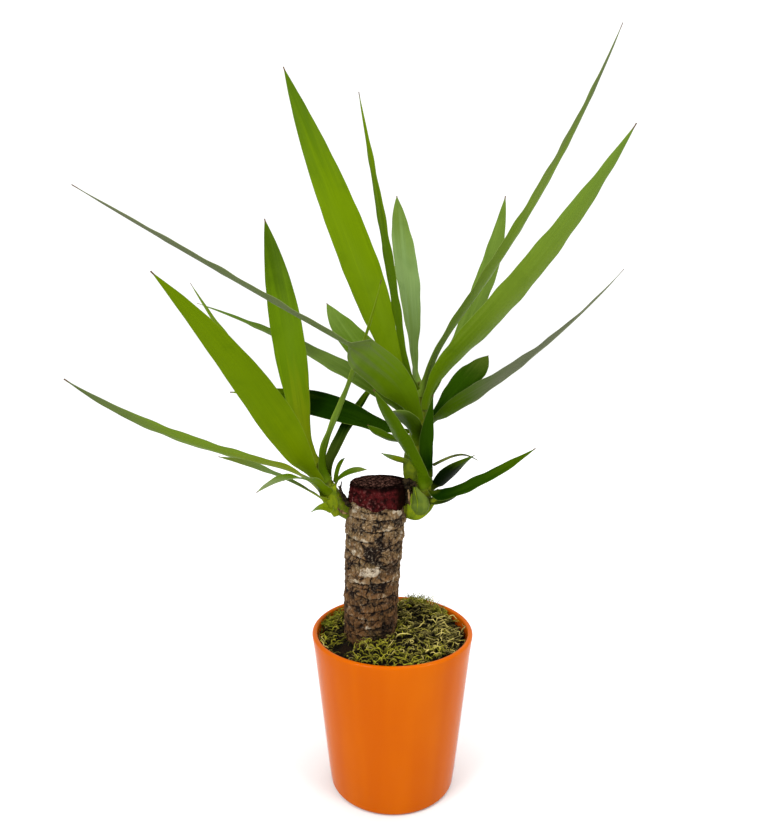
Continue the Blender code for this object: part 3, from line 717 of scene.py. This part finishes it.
def outward_share(x, y):
    """How far a place on the moss lies from the cane, at 0, to the pot's wall, at 1."""
    near_x, near_y = trunk_axis(SOIL_TOP)
    away = np.hypot(x - near_x, y - near_y) - trunk_radius(SOIL_TOP)
    left = pot_wall_inner(SOIL_TOP) - np.hypot(x, y)
    return away / np.maximum(away + left, 1e-6)


def bareness(x, y):
    """1 in the middle of the bare patch of soil, and 0 outside it."""
    gone = ((x - BARE_PLACE[0]) / BARE_REACH[0]) ** 2 + ((y - BARE_PLACE[1]) / BARE_REACH[1]) ** 2
    return np.exp(-gone)


def moss_bed_look():
    # Near black: painted shade in the gaps between the strands, over the moss's own dark matted underside
    look = Look("moss_bed", 0.95, 0.1, (0.002, 0.0015, 0.001))
    fine = look.noise(700.0, 4.0, 0.7)
    look.paint((0.014, 0.010, 0.003), fine, 0.35, 0.75)
    look.paint((0.016, 0.007, 0.003), look.noise(120.0), 0.45, 0.7, 0.0, 0.7)
    look.bump(fine, 0.0012, 1.0)
    return look


def build_moss_bed():
    """The matted underside of the moss, near black as painted shade in the gaps between the strands: a
    closed ring round the cane, with a rough top.
    """
    bottom = SOIL_TOP + GAP
    angles = turns(MOSS_BED_SIDES)
    near = trunk_ring(bottom, angles, MOSS_BED_CANE_GAP)
    far = circle(angles, pot_wall_inner(bottom) - GAP, bottom)
    out = np.linspace(0, 1, MOSS_BED_CELLS + 1)[:, None]
    top = near + (far - near) * out[..., None]
    x, y = top[..., 0], top[..., 1]
    top[..., 2] = moss_height(x, y, out) - MOSS_BED_DROP - BARE_DROP * bareness(x, y)
    top[..., 2] += 0.0011 * ripple(top, 0.005, 3, 12.0) + 0.0006 * ripple(top, 0.0016, 2, 13.0)
    rings = np.concatenate([top, [far, near]])
    last = (len(rings) - 1) * MOSS_BED_SIDES
    closing = np.array(wrapped_faces(2, MOSS_BED_SIDES))
    closing = np.where(closing >= MOSS_BED_SIDES, closing - MOSS_BED_SIDES, closing + last)
    faces = wrapped_faces(len(rings), MOSS_BED_SIDES) + closing.tolist()
    piece("moss_bed", rings.reshape(-1, 3), faces, moss_bed_look(), ["moss"])


class Strands(NamedTuple):
    """One kind of moss strand. Lengths and radii are millimetres, and rise is degrees at its start."""

    name: str
    count: int
    where: str
    shortest: float
    longest: float
    thinnest: float
    thickest: float
    curl: float
    rise: float
    light: tuple
    dark: tuple = (0.002, 0.002, 0.001)


MOSS_KINDS = (
    Strands("moss_under", 260, "all", 7, 15, 0.26, 0.42, 1.4, 12, (0.085, 0.070, 0.010)),
    Strands("moss_olive", 380, "all", 7, 15, 0.36, 0.56, 1.5, 34, (0.390, 0.335, 0.060)),
    Strands("moss_straw", 400, "right", 7, 17, 0.46, 0.70, 2.0, 38, (0.620, 0.520, 0.150),
            (0.003, 0.002, 0.001)),
    Strands("moss_green", 190, "left", 6, 13, 0.34, 0.54, 1.2, 48, (0.360, 0.340, 0.024)),
    Strands("moss_tips", 430, "tips", 5, 11, 0.32, 0.50, 0.6, 82, (0.400, 0.370, 0.035)),
    Strands("moss_ridge", 240, "ridge", 7, 14, 0.32, 0.52, 0.7, 80, (0.270, 0.280, 0.022),
            (0.002, 0.003, 0.001)),
)
# Where the upright strands stand, above the rim behind and elsewhere: the middle of each group
# and its reach, in metres
STRAND_GROUPS = {
    "ridge": (
        (0.017, 0.049, 0.011, 0.005), (0.026, 0.046, 0.009, 0.006), (0.043, 0.040, 0.005, 0.003),
        (-0.046, 0.034, 0.005, 0.004), (-0.055, 0.019, 0.003, 0.005),
    ),
    "tips": (
        (0.020, 0.043, 0.013, 0.008), (0.040, 0.034, 0.006, 0.005), (-0.050, 0.022, 0.006, 0.012),
        (-0.044, 0.034, 0.006, 0.006), (-0.018, -0.026, 0.020, 0.004), (0.012, 0.004, 0.004, 0.014),
        (-0.052, -0.012, 0.005, 0.010), (-0.012, -0.034, 0.018, 0.005), (0.012, -0.050, 0.022, 0.004),
        (-0.022, -0.046, 0.014, 0.005), (0.038, -0.036, 0.010, 0.007),
    ),
}


def strand_places(rng, kind):
    """Where the strands of a kind start, which are few in the bare patch."""
    chosen = []
    while len(chosen) < kind.count:
        x, y = rng.uniform(-1, 1, 2) * STRAND_FIELD
        if kind.where in STRAND_GROUPS:
            groups = STRAND_GROUPS[kind.where]
            centre_x, centre_y, reach_x, reach_y = groups[rng.integers(len(groups))]
            x = centre_x + rng.normal() * reach_x * STRAND_GROUP_SPREAD
            y = centre_y + rng.normal() * reach_y * STRAND_GROUP_SPREAD
        if not 0.0 < outward_share(x, y) < 1.0 or math.hypot(x, y) > MOSS_REACH:
            continue
        if rng.random() < 1.3 * bareness(x, y):
            continue
        rightness = smooth_step(x + 0.3 * y, -0.020, 0.020)
        if kind.where == "right" and rng.random() > 0.12 + 0.88 * rightness:
            continue
        if kind.where == "all" and rng.random() > 0.35 + 0.65 * rightness:
            continue
        if kind.where == "left" and rng.random() < 0.75 * rightness * smooth_step(-y, -0.045, -0.020):
            continue
        chosen.append((x, y))
    return np.array(chosen)


def strand_lines(rng, kind):
    """Curly lines that lie over the moss or rise out of it, and how lit each of their points is."""

    def draw(low, high):
        return rng.uniform(low, high, kind.count)[:, None]

    start = strand_places(rng, kind)
    step = draw(kind.shortest, kind.longest) * MM / (STRAND_POINTS - 1)
    heading = draw(0, math.tau)
    curl = rng.normal(0, kind.curl, kind.count)[:, None]
    wobble = draw(0.3, 1.1) * min(kind.curl, 1.5) / 1.5
    beat = draw(0.8, 2.4)
    vigour = draw(0.5, 1.15)
    share = np.linspace(0, 1, STRAND_POINTS)[None, :]
    turn = heading + curl * share * 1.6 + wobble * np.sin(beat * math.tau * share + heading * 3)
    rise = math.radians(kind.rise) * vigour * (1 - 1.1 * share) + 0.35 * np.sin(beat * 5 * share + heading)
    x = start[:, :1] + np.cumsum(np.cos(turn) * np.cos(rise) * step, axis=1)
    y = start[:, 1:] + np.cumsum(np.sin(turn) * np.cos(rise) * step, axis=1)
    ground = moss_height(x, y, np.clip(outward_share(x, y), 0, 1)) - BARE_DROP * bareness(x, y)
    depth = draw(*STRAND_DEPTHS)
    z = ground[:, :1] + depth + np.cumsum(np.sin(rise) * step, axis=1)
    z = np.maximum(z, ground + depth - 0.0006)
    wall = pot_wall_inner(np.minimum(z, POT_HEIGHT)) - STRAND_WALL_GAP
    limit = np.where(z > POT_HEIGHT + 0.0008, wall + STRAND_OVERHANG, wall)
    squeeze = np.minimum(1.0, limit / np.maximum(np.hypot(x, y), 1e-6))
    axis = np.array([trunk_axis(height) for height in z.ravel()]).reshape(*z.shape, 2)
    away = np.stack([x, y], axis=-1) * squeeze[..., None] - axis
    clear = (trunk_radius(SOIL_TOP) + STRAND_CANE_GAP) / np.maximum(np.linalg.norm(away, axis=-1), 1e-6)
    flat = axis + away * np.maximum(1.0, clear)[..., None]
    return np.dstack([flat, z]), smooth_step(z - ground, -0.0024, 0.0028) ** 1.3


def strand_mesh(rng, kind, lines, lit):
    """Three-sided stalks along the lines, each with small pointed leaflets, as closed bodies."""
    count, steps, _ = lines.shape
    ahead = unit(np.gradient(lines, axis=1))
    side = unit(np.cross(ahead, (0.0, 0.0, 1.0)))
    lift = np.cross(side, ahead)
    taper = np.linspace(1.0, 0.35, steps)[None, :, None]
    thick = rng.uniform(kind.thinnest, kind.thickest, count)[:, None, None] * MM * taper
    stalk = [lines + thick * (math.cos(turn) * side + math.sin(turn) * lift) for turn in turns(3)]
    stalk = np.stack(stalk, axis=2).reshape(-1, 3)
    last = (steps - 1) * 3
    one = wrapped_faces(steps, 3) + [[2, 1, 0], [last, last + 1, last + 2]]
    faces = []
    for base in range(0, count * steps * 3, steps * 3):
        faces += [[base + i for i in face] for face in one]
    tone = rng.uniform(0.2, 1.1, count)[:, None] * lit
    at = np.linspace(0.6, steps - 1.05, STRAND_LEAFLETS)
    low = at.astype(int)
    part = (at - low)[None, :, None]
    root = lines[:, low] * (1 - part) + lines[:, low + 1] * part
    forward = ahead[:, low]
    spin = rng.uniform(0, math.tau, (count, 1)) + np.arange(STRAND_LEAFLETS)[None, :] * LEAFLET_TURN
    spin = spin[..., None]
    out = np.cos(spin) * side[:, low] + np.sin(spin) * lift[:, low]
    size = rng.uniform(*LEAFLET_LENGTHS, (count, STRAND_LEAFLETS, 1))
    size = size * np.linspace(1.0, 0.6, STRAND_LEAFLETS)[None, :, None]
    tip = root + size * (0.75 * out + 0.65 * forward)
    wide = np.cross(out, forward) * LEAFLET_HALF_WIDTH
    front = root + forward * LEAFLET_HALF_WIDTH
    back = root - forward * LEAFLET_HALF_WIDTH * 1.3
    leaflets = np.stack([front + wide, front - wide, back, tip], axis=2).reshape(-1, 3)
    base = (np.arange(count * STRAND_LEAFLETS) * 4 + len(stalk))[:, None, None]
    faces += (base + LEAFLET_FACES).reshape(-1, 3).tolist()
    tones = [np.repeat(tone.ravel(), 3), np.repeat(tone[:, low].ravel(), 4)]
    return np.vstack([stalk, leaflets]), faces, np.concatenate(tones)


def strand_look(kind):
    look = Look(kind.name, 0.85, 0.1, kind.dark)
    speckle = look.noise(420.0)
    look.paint(kind.light, look.times(look.number("tone"), look.ramp(speckle, 0.3, 0.7, 0.75, 1.15)))
    look.bump(speckle, 0.0002, 0.5)
    return look


def build_strands():
    rng = np.random.default_rng(SEED)
    for kind in MOSS_KINDS:
        points, faces, tones = strand_mesh(rng, kind, *strand_lines(rng, kind))
        piece(kind.name, points, faces, strand_look(kind), (), {"tone": tones})


def stem_line(points, steps=STEM_STEPS):
    """A smooth line through a stem's points: places and radii in millimetres, and distances along it."""
    table = np.array(points, float)
    before, after = 2 * table[0] - table[1], 2 * table[-1] - table[-2]
    padded = np.vstack([before, table, after])
    rows = [table[0]]
    for a, b, c, d in zip(padded, padded[1:], padded[2:], padded[3:]):
        slope = (c - a) / 2
        curve = a - 2.5 * b + 2 * c - d / 2
        ease = 1.5 * (b - c) + (d - a) / 2
        for i in range(1, steps + 1):
            t = i / steps
            rows.append(b + t * (slope + t * (curve + t * ease)))
    line = np.array(rows)
    runs = np.linalg.norm(np.diff(line[:, :3], axis=0), axis=1)
    return line, np.concatenate([[0.0], np.cumsum(runs)])


def tube_rings(places, radii, sides, flat=1.0):
    """Rings of points round a line, turned as little as possible from one to the next."""
    ahead = unit(np.gradient(places, axis=0))
    side = np.cross(ahead[0], (0.0, 1.0, 0.0))
    if np.linalg.norm(side) < 0.1:
        side = np.cross(ahead[0], (1.0, 0.0, 0.0))
    angles = turns(sides)
    rings = []
    for place, direction, radius in zip(places, ahead, radii):
        side = unit(side - direction * side.dot(direction))
        other = np.cross(direction, side)
        ring = np.outer(np.cos(angles), side) + flat * np.outer(np.sin(angles), other)
        rings.append(place + radius * ring)
    return np.array(rings)


def swollen(rings, share):
    """Rings with each point moved to its share of the distance from its ring's middle."""
    middles = rings.mean(axis=1, keepdims=True)
    return middles + (rings - middles) * share[..., None]


def stem_look():
    look = Look("green_stem", 0.5, 0.05, (0.120, 0.150, 0.003))
    look.paint((0.070, 0.105, 0.004), look.noise(170.0), 0.35, 0.65)
    look.paint((0.100, 0.075, 0.020), look.number("scar"), 0.2, 1.0, 0.0, 0.75)
    look.paint((0.150, 0.165, 0.006), look.number("along"), 0.0, 9.0, 0.85, 0.0)
    look.bump(look.noise(700.0, at=look.place((1, 1, 0.2))), 0.0004, 0.6)
    return look


def build_shoots():
    """The short stems, with the scars of shed leaves in rings round them and a rounded end."""
    look = stem_look()
    for side, points in SHOOTS.items():
        line, along = stem_line(points, SHOOT_FINE_STEPS)
        rings = tube_rings(line[:, :3] * MM, line[:, 3] * MM, SHOOT_SIDES)
        swing = 0.35 * np.sin(2 * turns(SHOOT_SIDES))
        ridges = np.abs(np.sin(math.pi * (along[:, None] / SHOOT_SCAR_PITCH + swing))) ** 0.5
        rings = swollen(rings, 0.95 + 0.05 * ridges + 0.03 * ripple(rings, 0.004, 2, 20.0))
        middle = rings[-1].mean(axis=0)
        tip = [middle + (rings[-1] - middle) * share + (0, 0, rise) for share, rise in STEM_TIP]
        distance = np.append(along, [along[-1]] * len(tip)).repeat(SHOOT_SIDES)
        worn = 1 - np.vstack([ridges, ridges[-2:]])
        numbers = {"along": np.append(distance, [0.0, along[-1]]), "scar": np.append(worn, [0.0, 0.0])}
        rings = np.concatenate([rings, tip])
        solid(f"stem_{side}", rings, look, [f"shoot_{side}"], numbers)


def stem_place(leaf):
    """The stem at a leaf's root: middle, radius, direction along the stem and outward to the root."""
    line, along = stem_line(leaf.stem)

    def at(distance):
        return np.array([np.interp(distance, along, column) for column in line.T])

    here = at(leaf.up)
    direction = unit(at(leaf.up + 1)[:3] - at(leaf.up - 1)[:3])
    angle = math.radians(leaf.around)
    out = np.array([math.cos(angle), math.sin(angle), 0.0])
    out = unit(out - direction * out.dot(direction))
    return here[:3] * MM, here[3] * MM, direction, out


def leaf_width(leaf, share):
    """The blade's whole width at a share of its length."""
    if share < leaf.peak:
        grown = math.sin(math.pi / 2 * share / leaf.peak) ** LEAF_SWELL
        return (leaf.root + (leaf.width - leaf.root) * grown) * MM
    left = 1 - ((share - leaf.peak) / (1 - leaf.peak)) ** leaf.point
    return max(leaf.width * MM * left, LEAF_TIP_WIDTH)


def leaf_path(leaf):
    """For even shares of the length: places along the midrib, and the directions across and up there."""
    share = np.linspace(0.0, 1.0, PATH_STEPS + 1)
    heading = leaf.heading + leaf.swerve * share
    rise = leaf.rise + leaf.arch * share + leaf.clasp * np.clip(1 - share / CLASP_SHARE, 0, 1) ** 2
    roll = leaf.roll + leaf.twist * share
    if leaf.bend:
        spot, turn, tilt, spin = leaf.bend
        done = np.clip((share - spot) / CREASE_SHARE + 0.5, 0, 1)
        heading = heading + turn * done
        rise = rise + tilt * done
        roll = roll + spin * done
    h, e, r = np.radians(heading), np.radians(rise), np.radians(roll)[:, None]
    along = np.stack([np.cos(e) * np.cos(h), np.cos(e) * np.sin(h), np.sin(e)], axis=1)
    flat = np.stack([-np.sin(h), np.cos(h), np.zeros_like(h)], axis=1)
    across = flat * np.cos(r) + np.cross(along, flat) * np.sin(r)
    middle, radius, direction, out = stem_place(leaf)
    root = middle + out * (radius + GAP + LEAF_THICKNESS / 2)
    free = np.clip(share / ROOT_SHARE, 0, 1)[:, None]
    across = np.cross(direction, out) * (1 - free) + across * free
    across = unit(across - along * np.sum(along * across, axis=1, keepdims=True))
    steps = np.vstack([np.zeros(3), along[:-1]]) * leaf.length * MM / PATH_STEPS
    return root + np.cumsum(steps, axis=0), across, np.cross(along, across)


def leaf_look(tones):
    """A blade's material: tones along it that paint its light and shade as well as its green, with pale
    margins, fine veins, a dry tip and a soft gloss.
    """
    low, middle, high = (TONES[tone] for tone in tones.split())
    gloss = 0.0 if "deep" in tones or "dark" in tones else 0.015
    look = Look("blade_" + tones.replace(" ", "_"), 0.40, gloss, low)
    across, along, share, seed = (look.number(name) for name in ("across", "along", "share", "seed"))
    patches = look.noise(45.0)

    def lengthwise(stretch, scale, detail):
        inputs = {"X": across, "Y": look.times(along, stretch), "Z": seed}
        return look.noise(scale, detail, at=look.node("ShaderNodeCombineXYZ", 0, inputs))

    veins, streaks = lengthwise(0.006, 3.0, 2.0), lengthwise(0.03, 0.3, 3.0)
    wander = look.add(share, look.ramp(streaks, 0.3, 0.7, -0.08, 0.08))
    look.paint(middle, wander, 0.10, 0.45)
    look.paint(high, wander, 0.50, 0.92)
    lighter = look.mix(1.0, look.colour, (1.35, 1.28, 1.5), "MULTIPLY")
    darker = look.mix(1.0, look.colour, (0.60, 0.68, 0.6), "MULTIPLY")
    look.paint(lighter, streaks, 0.50, 0.75, 0.0, 0.4)
    look.paint(darker, patches, 0.50, 0.75, 0.0, 0.35)
    look.paint(darker, veins, 0.48, 0.68, 0.0, 0.28)
    look.paint((0.095, 0.130, 0.006), along, 1.0, 8.0, 0.35, 0.0)
    look.paint(look.mix(0.45, high, (0.18, 0.22, 0.06)), look.number("edge"), 0.12, 0.38, 0.55, 0.0)
    look.paint((0.085, 0.050, 0.022), share, 0.975, 0.992)
    look.set("Roughness", look.ramp(patches, 0.3, 0.7, 0.34, 0.46))
    look.bump(veins, 0.0002, 0.35)
    return look


def blade_rings(leaf):
    """Rings of points round a blade from root to tip, and each point's distance across it in millimetres.

    Near the root the blade wraps the stem. Further out it opens to its channel, and its margins
    wave a little.
    """
    places, across, up = leaf_path(leaf)
    _, radius, _, _ = stem_place(leaf)
    sides = np.linspace(-1, 1, LEAF_CELLS + 1)
    seed = sum(map(ord, leaf.node)) * 0.37
    wrap = radius + GAP + LEAF_THICKNESS / 2
    rings, reach = [], []
    for i in range(PATH_STEPS + 1):
        share = i / PATH_STEPS
        distance = share * leaf.length * MM
        half = leaf_width(leaf, share) / 2
        clasped = 1 - smooth_step(distance, 0.0, min(SHEATH_LENGTH, leaf.length * MM * 0.3))
        half_wrapped = half + clasped * 0.35 * half
        angle = sides * half_wrapped / wrap * SHEATH_TURN
        round_stem = wrap * np.outer(np.sin(angle), across[i]) + wrap * np.outer(1 - np.cos(angle), up[i])
        channel = LEAF_CHANNEL * np.abs(sides) ** CHANNEL_CURVE
        free = half * (np.outer(sides, across[i]) + np.outer(channel, up[i]))
        wave = math.sin(distance * LONG_WAVES + seed) + 0.6 * math.sin(distance * SHORT_WAVES + 2 * seed)
        wave = LEAF_WAVE * wave * min(1.0, half / LEAF_WAVES_FROM)
        flutter = wave * np.abs(sides) ** 3 * np.sign(sides + 0.3)
        free = free + np.outer(flutter * (1 - clasped), up[i])
        sheet = places[i] + free * (1 - clasped) + round_stem * clasped
        thick = LEAF_EDGE_THICKNESS + (LEAF_MIDDLE_THICKNESS - LEAF_EDGE_THICKNESS) * (1 - sides**2)
        thick = thick * min(1.0, half / LEAF_THINS_FROM)
        slope = np.gradient(sheet, axis=0)
        lift = unit(np.cross(np.cross(across[i], up[i]), slope)) * thick[:, None] / 2
        rings.append(np.vstack([sheet + lift, (sheet - lift)[::-1]]))
        reach.append(np.concatenate([sides * half, (sides * half)[::-1]]) / MM)
    return np.array(rings), np.array(reach)


def strip_cap(start, half_count, flip):
    """Quads between the upper and lower points of a blade's first or last ring."""
    faces = []
    for j in range(half_count - 1):
        a, b = start + j, start + j + 1
        c, d = start + 2 * half_count - 2 - j, start + 2 * half_count - 1 - j
        faces.append([a, b, c, d] if flip else [d, c, b, a])
    return faces


def build_leaves():
    looks = {leaf.tones: leaf_look(leaf.tones) for leaf in LEAVES}
    for number, leaf in enumerate(LEAVES):
        rings, reach = blade_rings(leaf)
        rows, columns, _ = rings.shape
        faces = wrapped_faces(rows, columns) + strip_cap(0, columns // 2, True)
        faces += strip_cap((rows - 1) * columns, columns // 2, False)
        share = np.repeat(np.linspace(0, 1, rows), columns)
        numbers = {
            "across": reach,
            "along": share * leaf.length,
            "share": share,
            "edge": np.abs(reach).max(axis=1, keepdims=True) - np.abs(reach),
            "seed": np.full(rows * columns, number * 3.7),
        }
        points = rings.reshape(-1, 3)
        made = piece(f"blade_{leaf.name}", points, faces, looks[leaf.tones], [leaf.node], numbers)
        made.data.set_sharp_from_angle(angle=LEAF_SHARP_ANGLE)


def plain_look(name, first, second, scale, stretch=(1, 1, 1), bumps=0.0003):
    """A rough material that wanders between two colours."""
    look = Look(name, 0.75, 0.05, first)
    fine = look.noise(scale, at=look.place(stretch))
    look.paint(second, fine, 0.35, 0.65)
    look.bump(fine, bumps, 0.7)
    return look


def sheath_look(name, light, shade):
    """Young scales: fine lengthwise lines and pale margins."""
    look = Look(name, 0.45, 0.05, light)
    lines = look.noise(900.0, 2.0, at=look.place((1, 1, 0.12)))
    look.paint(shade, look.noise(150.0), 0.35, 0.65)
    look.paint((0.050, 0.080, 0.003), lines, 0.4, 0.7, 0.0, 0.35)
    look.paint((0.22, 0.26, 0.07), look.number("margin"), 0.93, 0.995, 0.0, 0.6)
    look.bump(lines, 0.0002, 0.5)
    return look


# Scales and sheaths at the shoots' feet: name, look, how thick each is beside its width, and its
# points, each a place and a whole width in millimetres
FOOT_SCALES = (
    ("scale_right", "scale", 0.24, (18.6, -4.0, 231.2, 6), (20.6, -6.9, 236, 13.5),
     (21.8, -7.6, 242, 14.5), (19.0, -7.4, 250, 7.0), (16.2, -6.2, 257.6, 0.8)),
    ("scale_fold", "sheath", 1.0, (16.6, -7.4, 256, 0.5), (18.2, -9.0, 249, 0.9), (19.6, -9.2, 242, 0.9),
     (19.2, -8.0, 235, 0.5)),
    ("rim_right", "sheath", 0.6, (11, -1, 229.4, 4), (19, -3, 230.2, 8), (26.5, -3.4, 235, 7),
     (32, -3.6, 241.5, 5), (38, -3.6, 245.8, 1.2)),
    ("crease_right", "sheath", 0.3, (14.6, -4.0, 229.5, 7), (15.0, -6.0, 236, 8), (15.6, -6.4, 243, 7),
     (15.6, -6.0, 250, 2)),
    ("sheath_left", "sheath", 0.4, (-46.3, -3.4, 256.5, 3), (-48.3, -4.5, 247.5, 7.5), (-48, -5, 239, 9),
     (-45.2, -3.5, 230, 5)),
    ("sheath_left_outer", "sheath", 0.4, (-59.5, -3.6, 261, 3), (-55.6, -3.8, 252, 8),
     (-52.2, -3.6, 243, 8), (-48.5, -2.6, 234, 4)),
    ("sheath_right", "olive", 0.7, (15.6, 0.6, 292, 8), (15.0, 0, 279, 12), (14.6, 0, 267, 13),
     (15.4, -1, 257.5, 11)),
    ("scar_left", "crust", 0.5, (-43.2, -3.4, 255, 1.2), (-39.6, -4.4, 246.5, 3.4),
     (-34.6, -8, 239.2, 3.2)),
    ("fibre_left", "crust", 0.8, (-41.1, 0, 257.6, 0.9), (-41.6, 0, 251.4, 1.4), (-38.4, 0, 244, 2.2),
     (-34.5, 0, 239.8, 3.4)),
    ("crust_right", "crust", 0.6, (7.6, -9, 259.4, 3), (12.0, -9, 259.8, 4.6), (15.8, -8.4, 258.2, 4.4),
     (19.0, -7.6, 255.6, 1.5)),
    ("crust_low", "crust", 0.5, (10.2, -5, 259, 5), (11.6, -5.4, 251, 7), (11.8, -6, 241, 5)),
    ("crumb_right", "crust", 0.7, (9.0, -9.4, 257.5, 2.4), (11.6, -10, 255.4, 3.4),
     (13.6, -9.8, 252.6, 1.2)),
    ("fibre_right", "bits", 0.5, (12.0, -12.0, 254.0, 0.9), (12.8, -12.0, 248.5, 1.7),
     (13.2, -11.2, 241, 1.1)),
    ("husk_left", "bits", 0.5, (-44.0, -7, 237.4, 1.0), (-40.4, -9, 235.0, 2.4),
     (-36.0, -11, 234.0, 1.2)),
    ("dried_leaf", "thin", 0.5, (31.5, -9, 273.0, 2.6), (38.8, -10, 277.0, 2.4), (46.3, -10, 280.2, 2.1),
     (53.7, -10, 281.6, 1.7), (60.1, -10, 280.3, 1.1), (66.7, -10, 277, 0.5)),
)
SLIVER_SIDES = 16
SLIVER_STEPS = 10
SLIVER_THINNEST = 0.12


def build_foot_scales():
    """The basal scales, scars and dried scraps round the shoots' feet: thin strips, smooth or lumpy."""
    looks = {
        "sheath": sheath_look("young_sheath", (0.160, 0.200, 0.002), (0.095, 0.140, 0.003)),
        "scale": sheath_look("grey_scale", (0.092, 0.128, 0.014), (0.060, 0.092, 0.012)),
        "olive": sheath_look("olive_sheath", (0.095, 0.125, 0.002), (0.045, 0.072, 0.003)),
        "crust": plain_look("dark_crust", (0.003, 0.002, 0.001), (0.026, 0.017, 0.007), 420.0, bumps=0.001),
        "bits": plain_look("brown_bits", (0.045, 0.024, 0.010), (0.200, 0.130, 0.055), 500.0, (1, 1, 0.4)),
        "thin": plain_look("drying_leaf", (0.030, 0.040, 0.006), (0.085, 0.100, 0.020), 160.0),
    }
    for name, look, flat, *points in FOOT_SCALES:
        line, _ = stem_line([(x, y, z, width / 2) for x, y, z, width in points], SLIVER_STEPS)
        radii = np.maximum(line[:, 3], SLIVER_THINNEST) * MM
        rings = tube_rings(line[:, :3] * MM, radii, SLIVER_SIDES, flat)
        lumps = 0.9 if look in ("crust", "bits") else 0.05
        rings = swollen(rings, 1 + lumps * ripple(rings, 0.0016, 3, 31.0))
        margin = np.tile(np.abs(np.cos(turns(SLIVER_SIDES))), len(rings))
        solid(name, rings, looks[look], (), {"margin": np.append(margin, [0.0, 0.0])})


def build_soil():
    """The packed soil keeps its shape, and gets its look."""
    look = Look("soil", 0.96, 0.15, (0.006, 0.004, 0.003))
    fine = look.noise(620.0, 5.0, 0.7)
    look.paint((0.050, 0.026, 0.014), fine, 0.3, 0.75)
    look.bump(fine, 0.001, 1.0)
    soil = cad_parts["soil"]
    soil.data.materials.clear()
    soil.data.materials.append(look.material)


def build_floor():
    look = Look("pale_floor", 0.9, 0.0, (0.72, 0.72, 0.72))
    look.paint((0.92, 0.92, 0.92), look.length(look.where), 0.2, 1.4)
    mesh = bpy.data.meshes.new("floor")
    rim = circle(turns(FLOOR_SIDES), FLOOR_RADIUS, -FLOOR_DROP)
    mesh.from_pydata(rim.tolist(), [], [list(range(FLOOR_SIDES))])
    mesh.materials.append(look.material)
    add_object("floor", mesh)


def build_studio():
    world = bpy.data.worlds.new("studio")
    world.use_nodes = True
    sky = world.node_tree.nodes["Background"]
    sky.inputs["Color"].default_value = (1.0, 1.0, 1.0, 1.0)
    sky.inputs["Strength"].default_value = SKY_STRENGTH
    bpy.context.scene.world = world
    bpy.context.scene.view_settings.view_transform = "Standard"
    for name, (place, aim, size, watts) in SOFTBOXES.items():
        lamp = bpy.data.lights.new(name, "AREA")
        lamp.shape = "RECTANGLE"
        lamp.size, lamp.size_y = size
        lamp.energy = watts
        towards = Vector(aim) - Vector(place)
        add_object(name, lamp, place).rotation_euler = towards.to_track_quat("-Z", "Y").to_euler()


def build_camera():
    view = bpy.data.cameras.new("camera")
    view.lens = CAMERA_LENS
    camera = add_object("camera", view, CAMERA_PLACE)
    camera.rotation_euler = (math.radians(90 - CAMERA_DOWN), 0.0, 0.0)
    bpy.context.scene.camera = camera


build_camera()
build_studio()
build_floor()
build_pot()
build_soil()
build_trunk()
build_wax_cap()
build_moss_bed()
build_strands()
build_shoots()
build_leaves()
build_foot_scales()
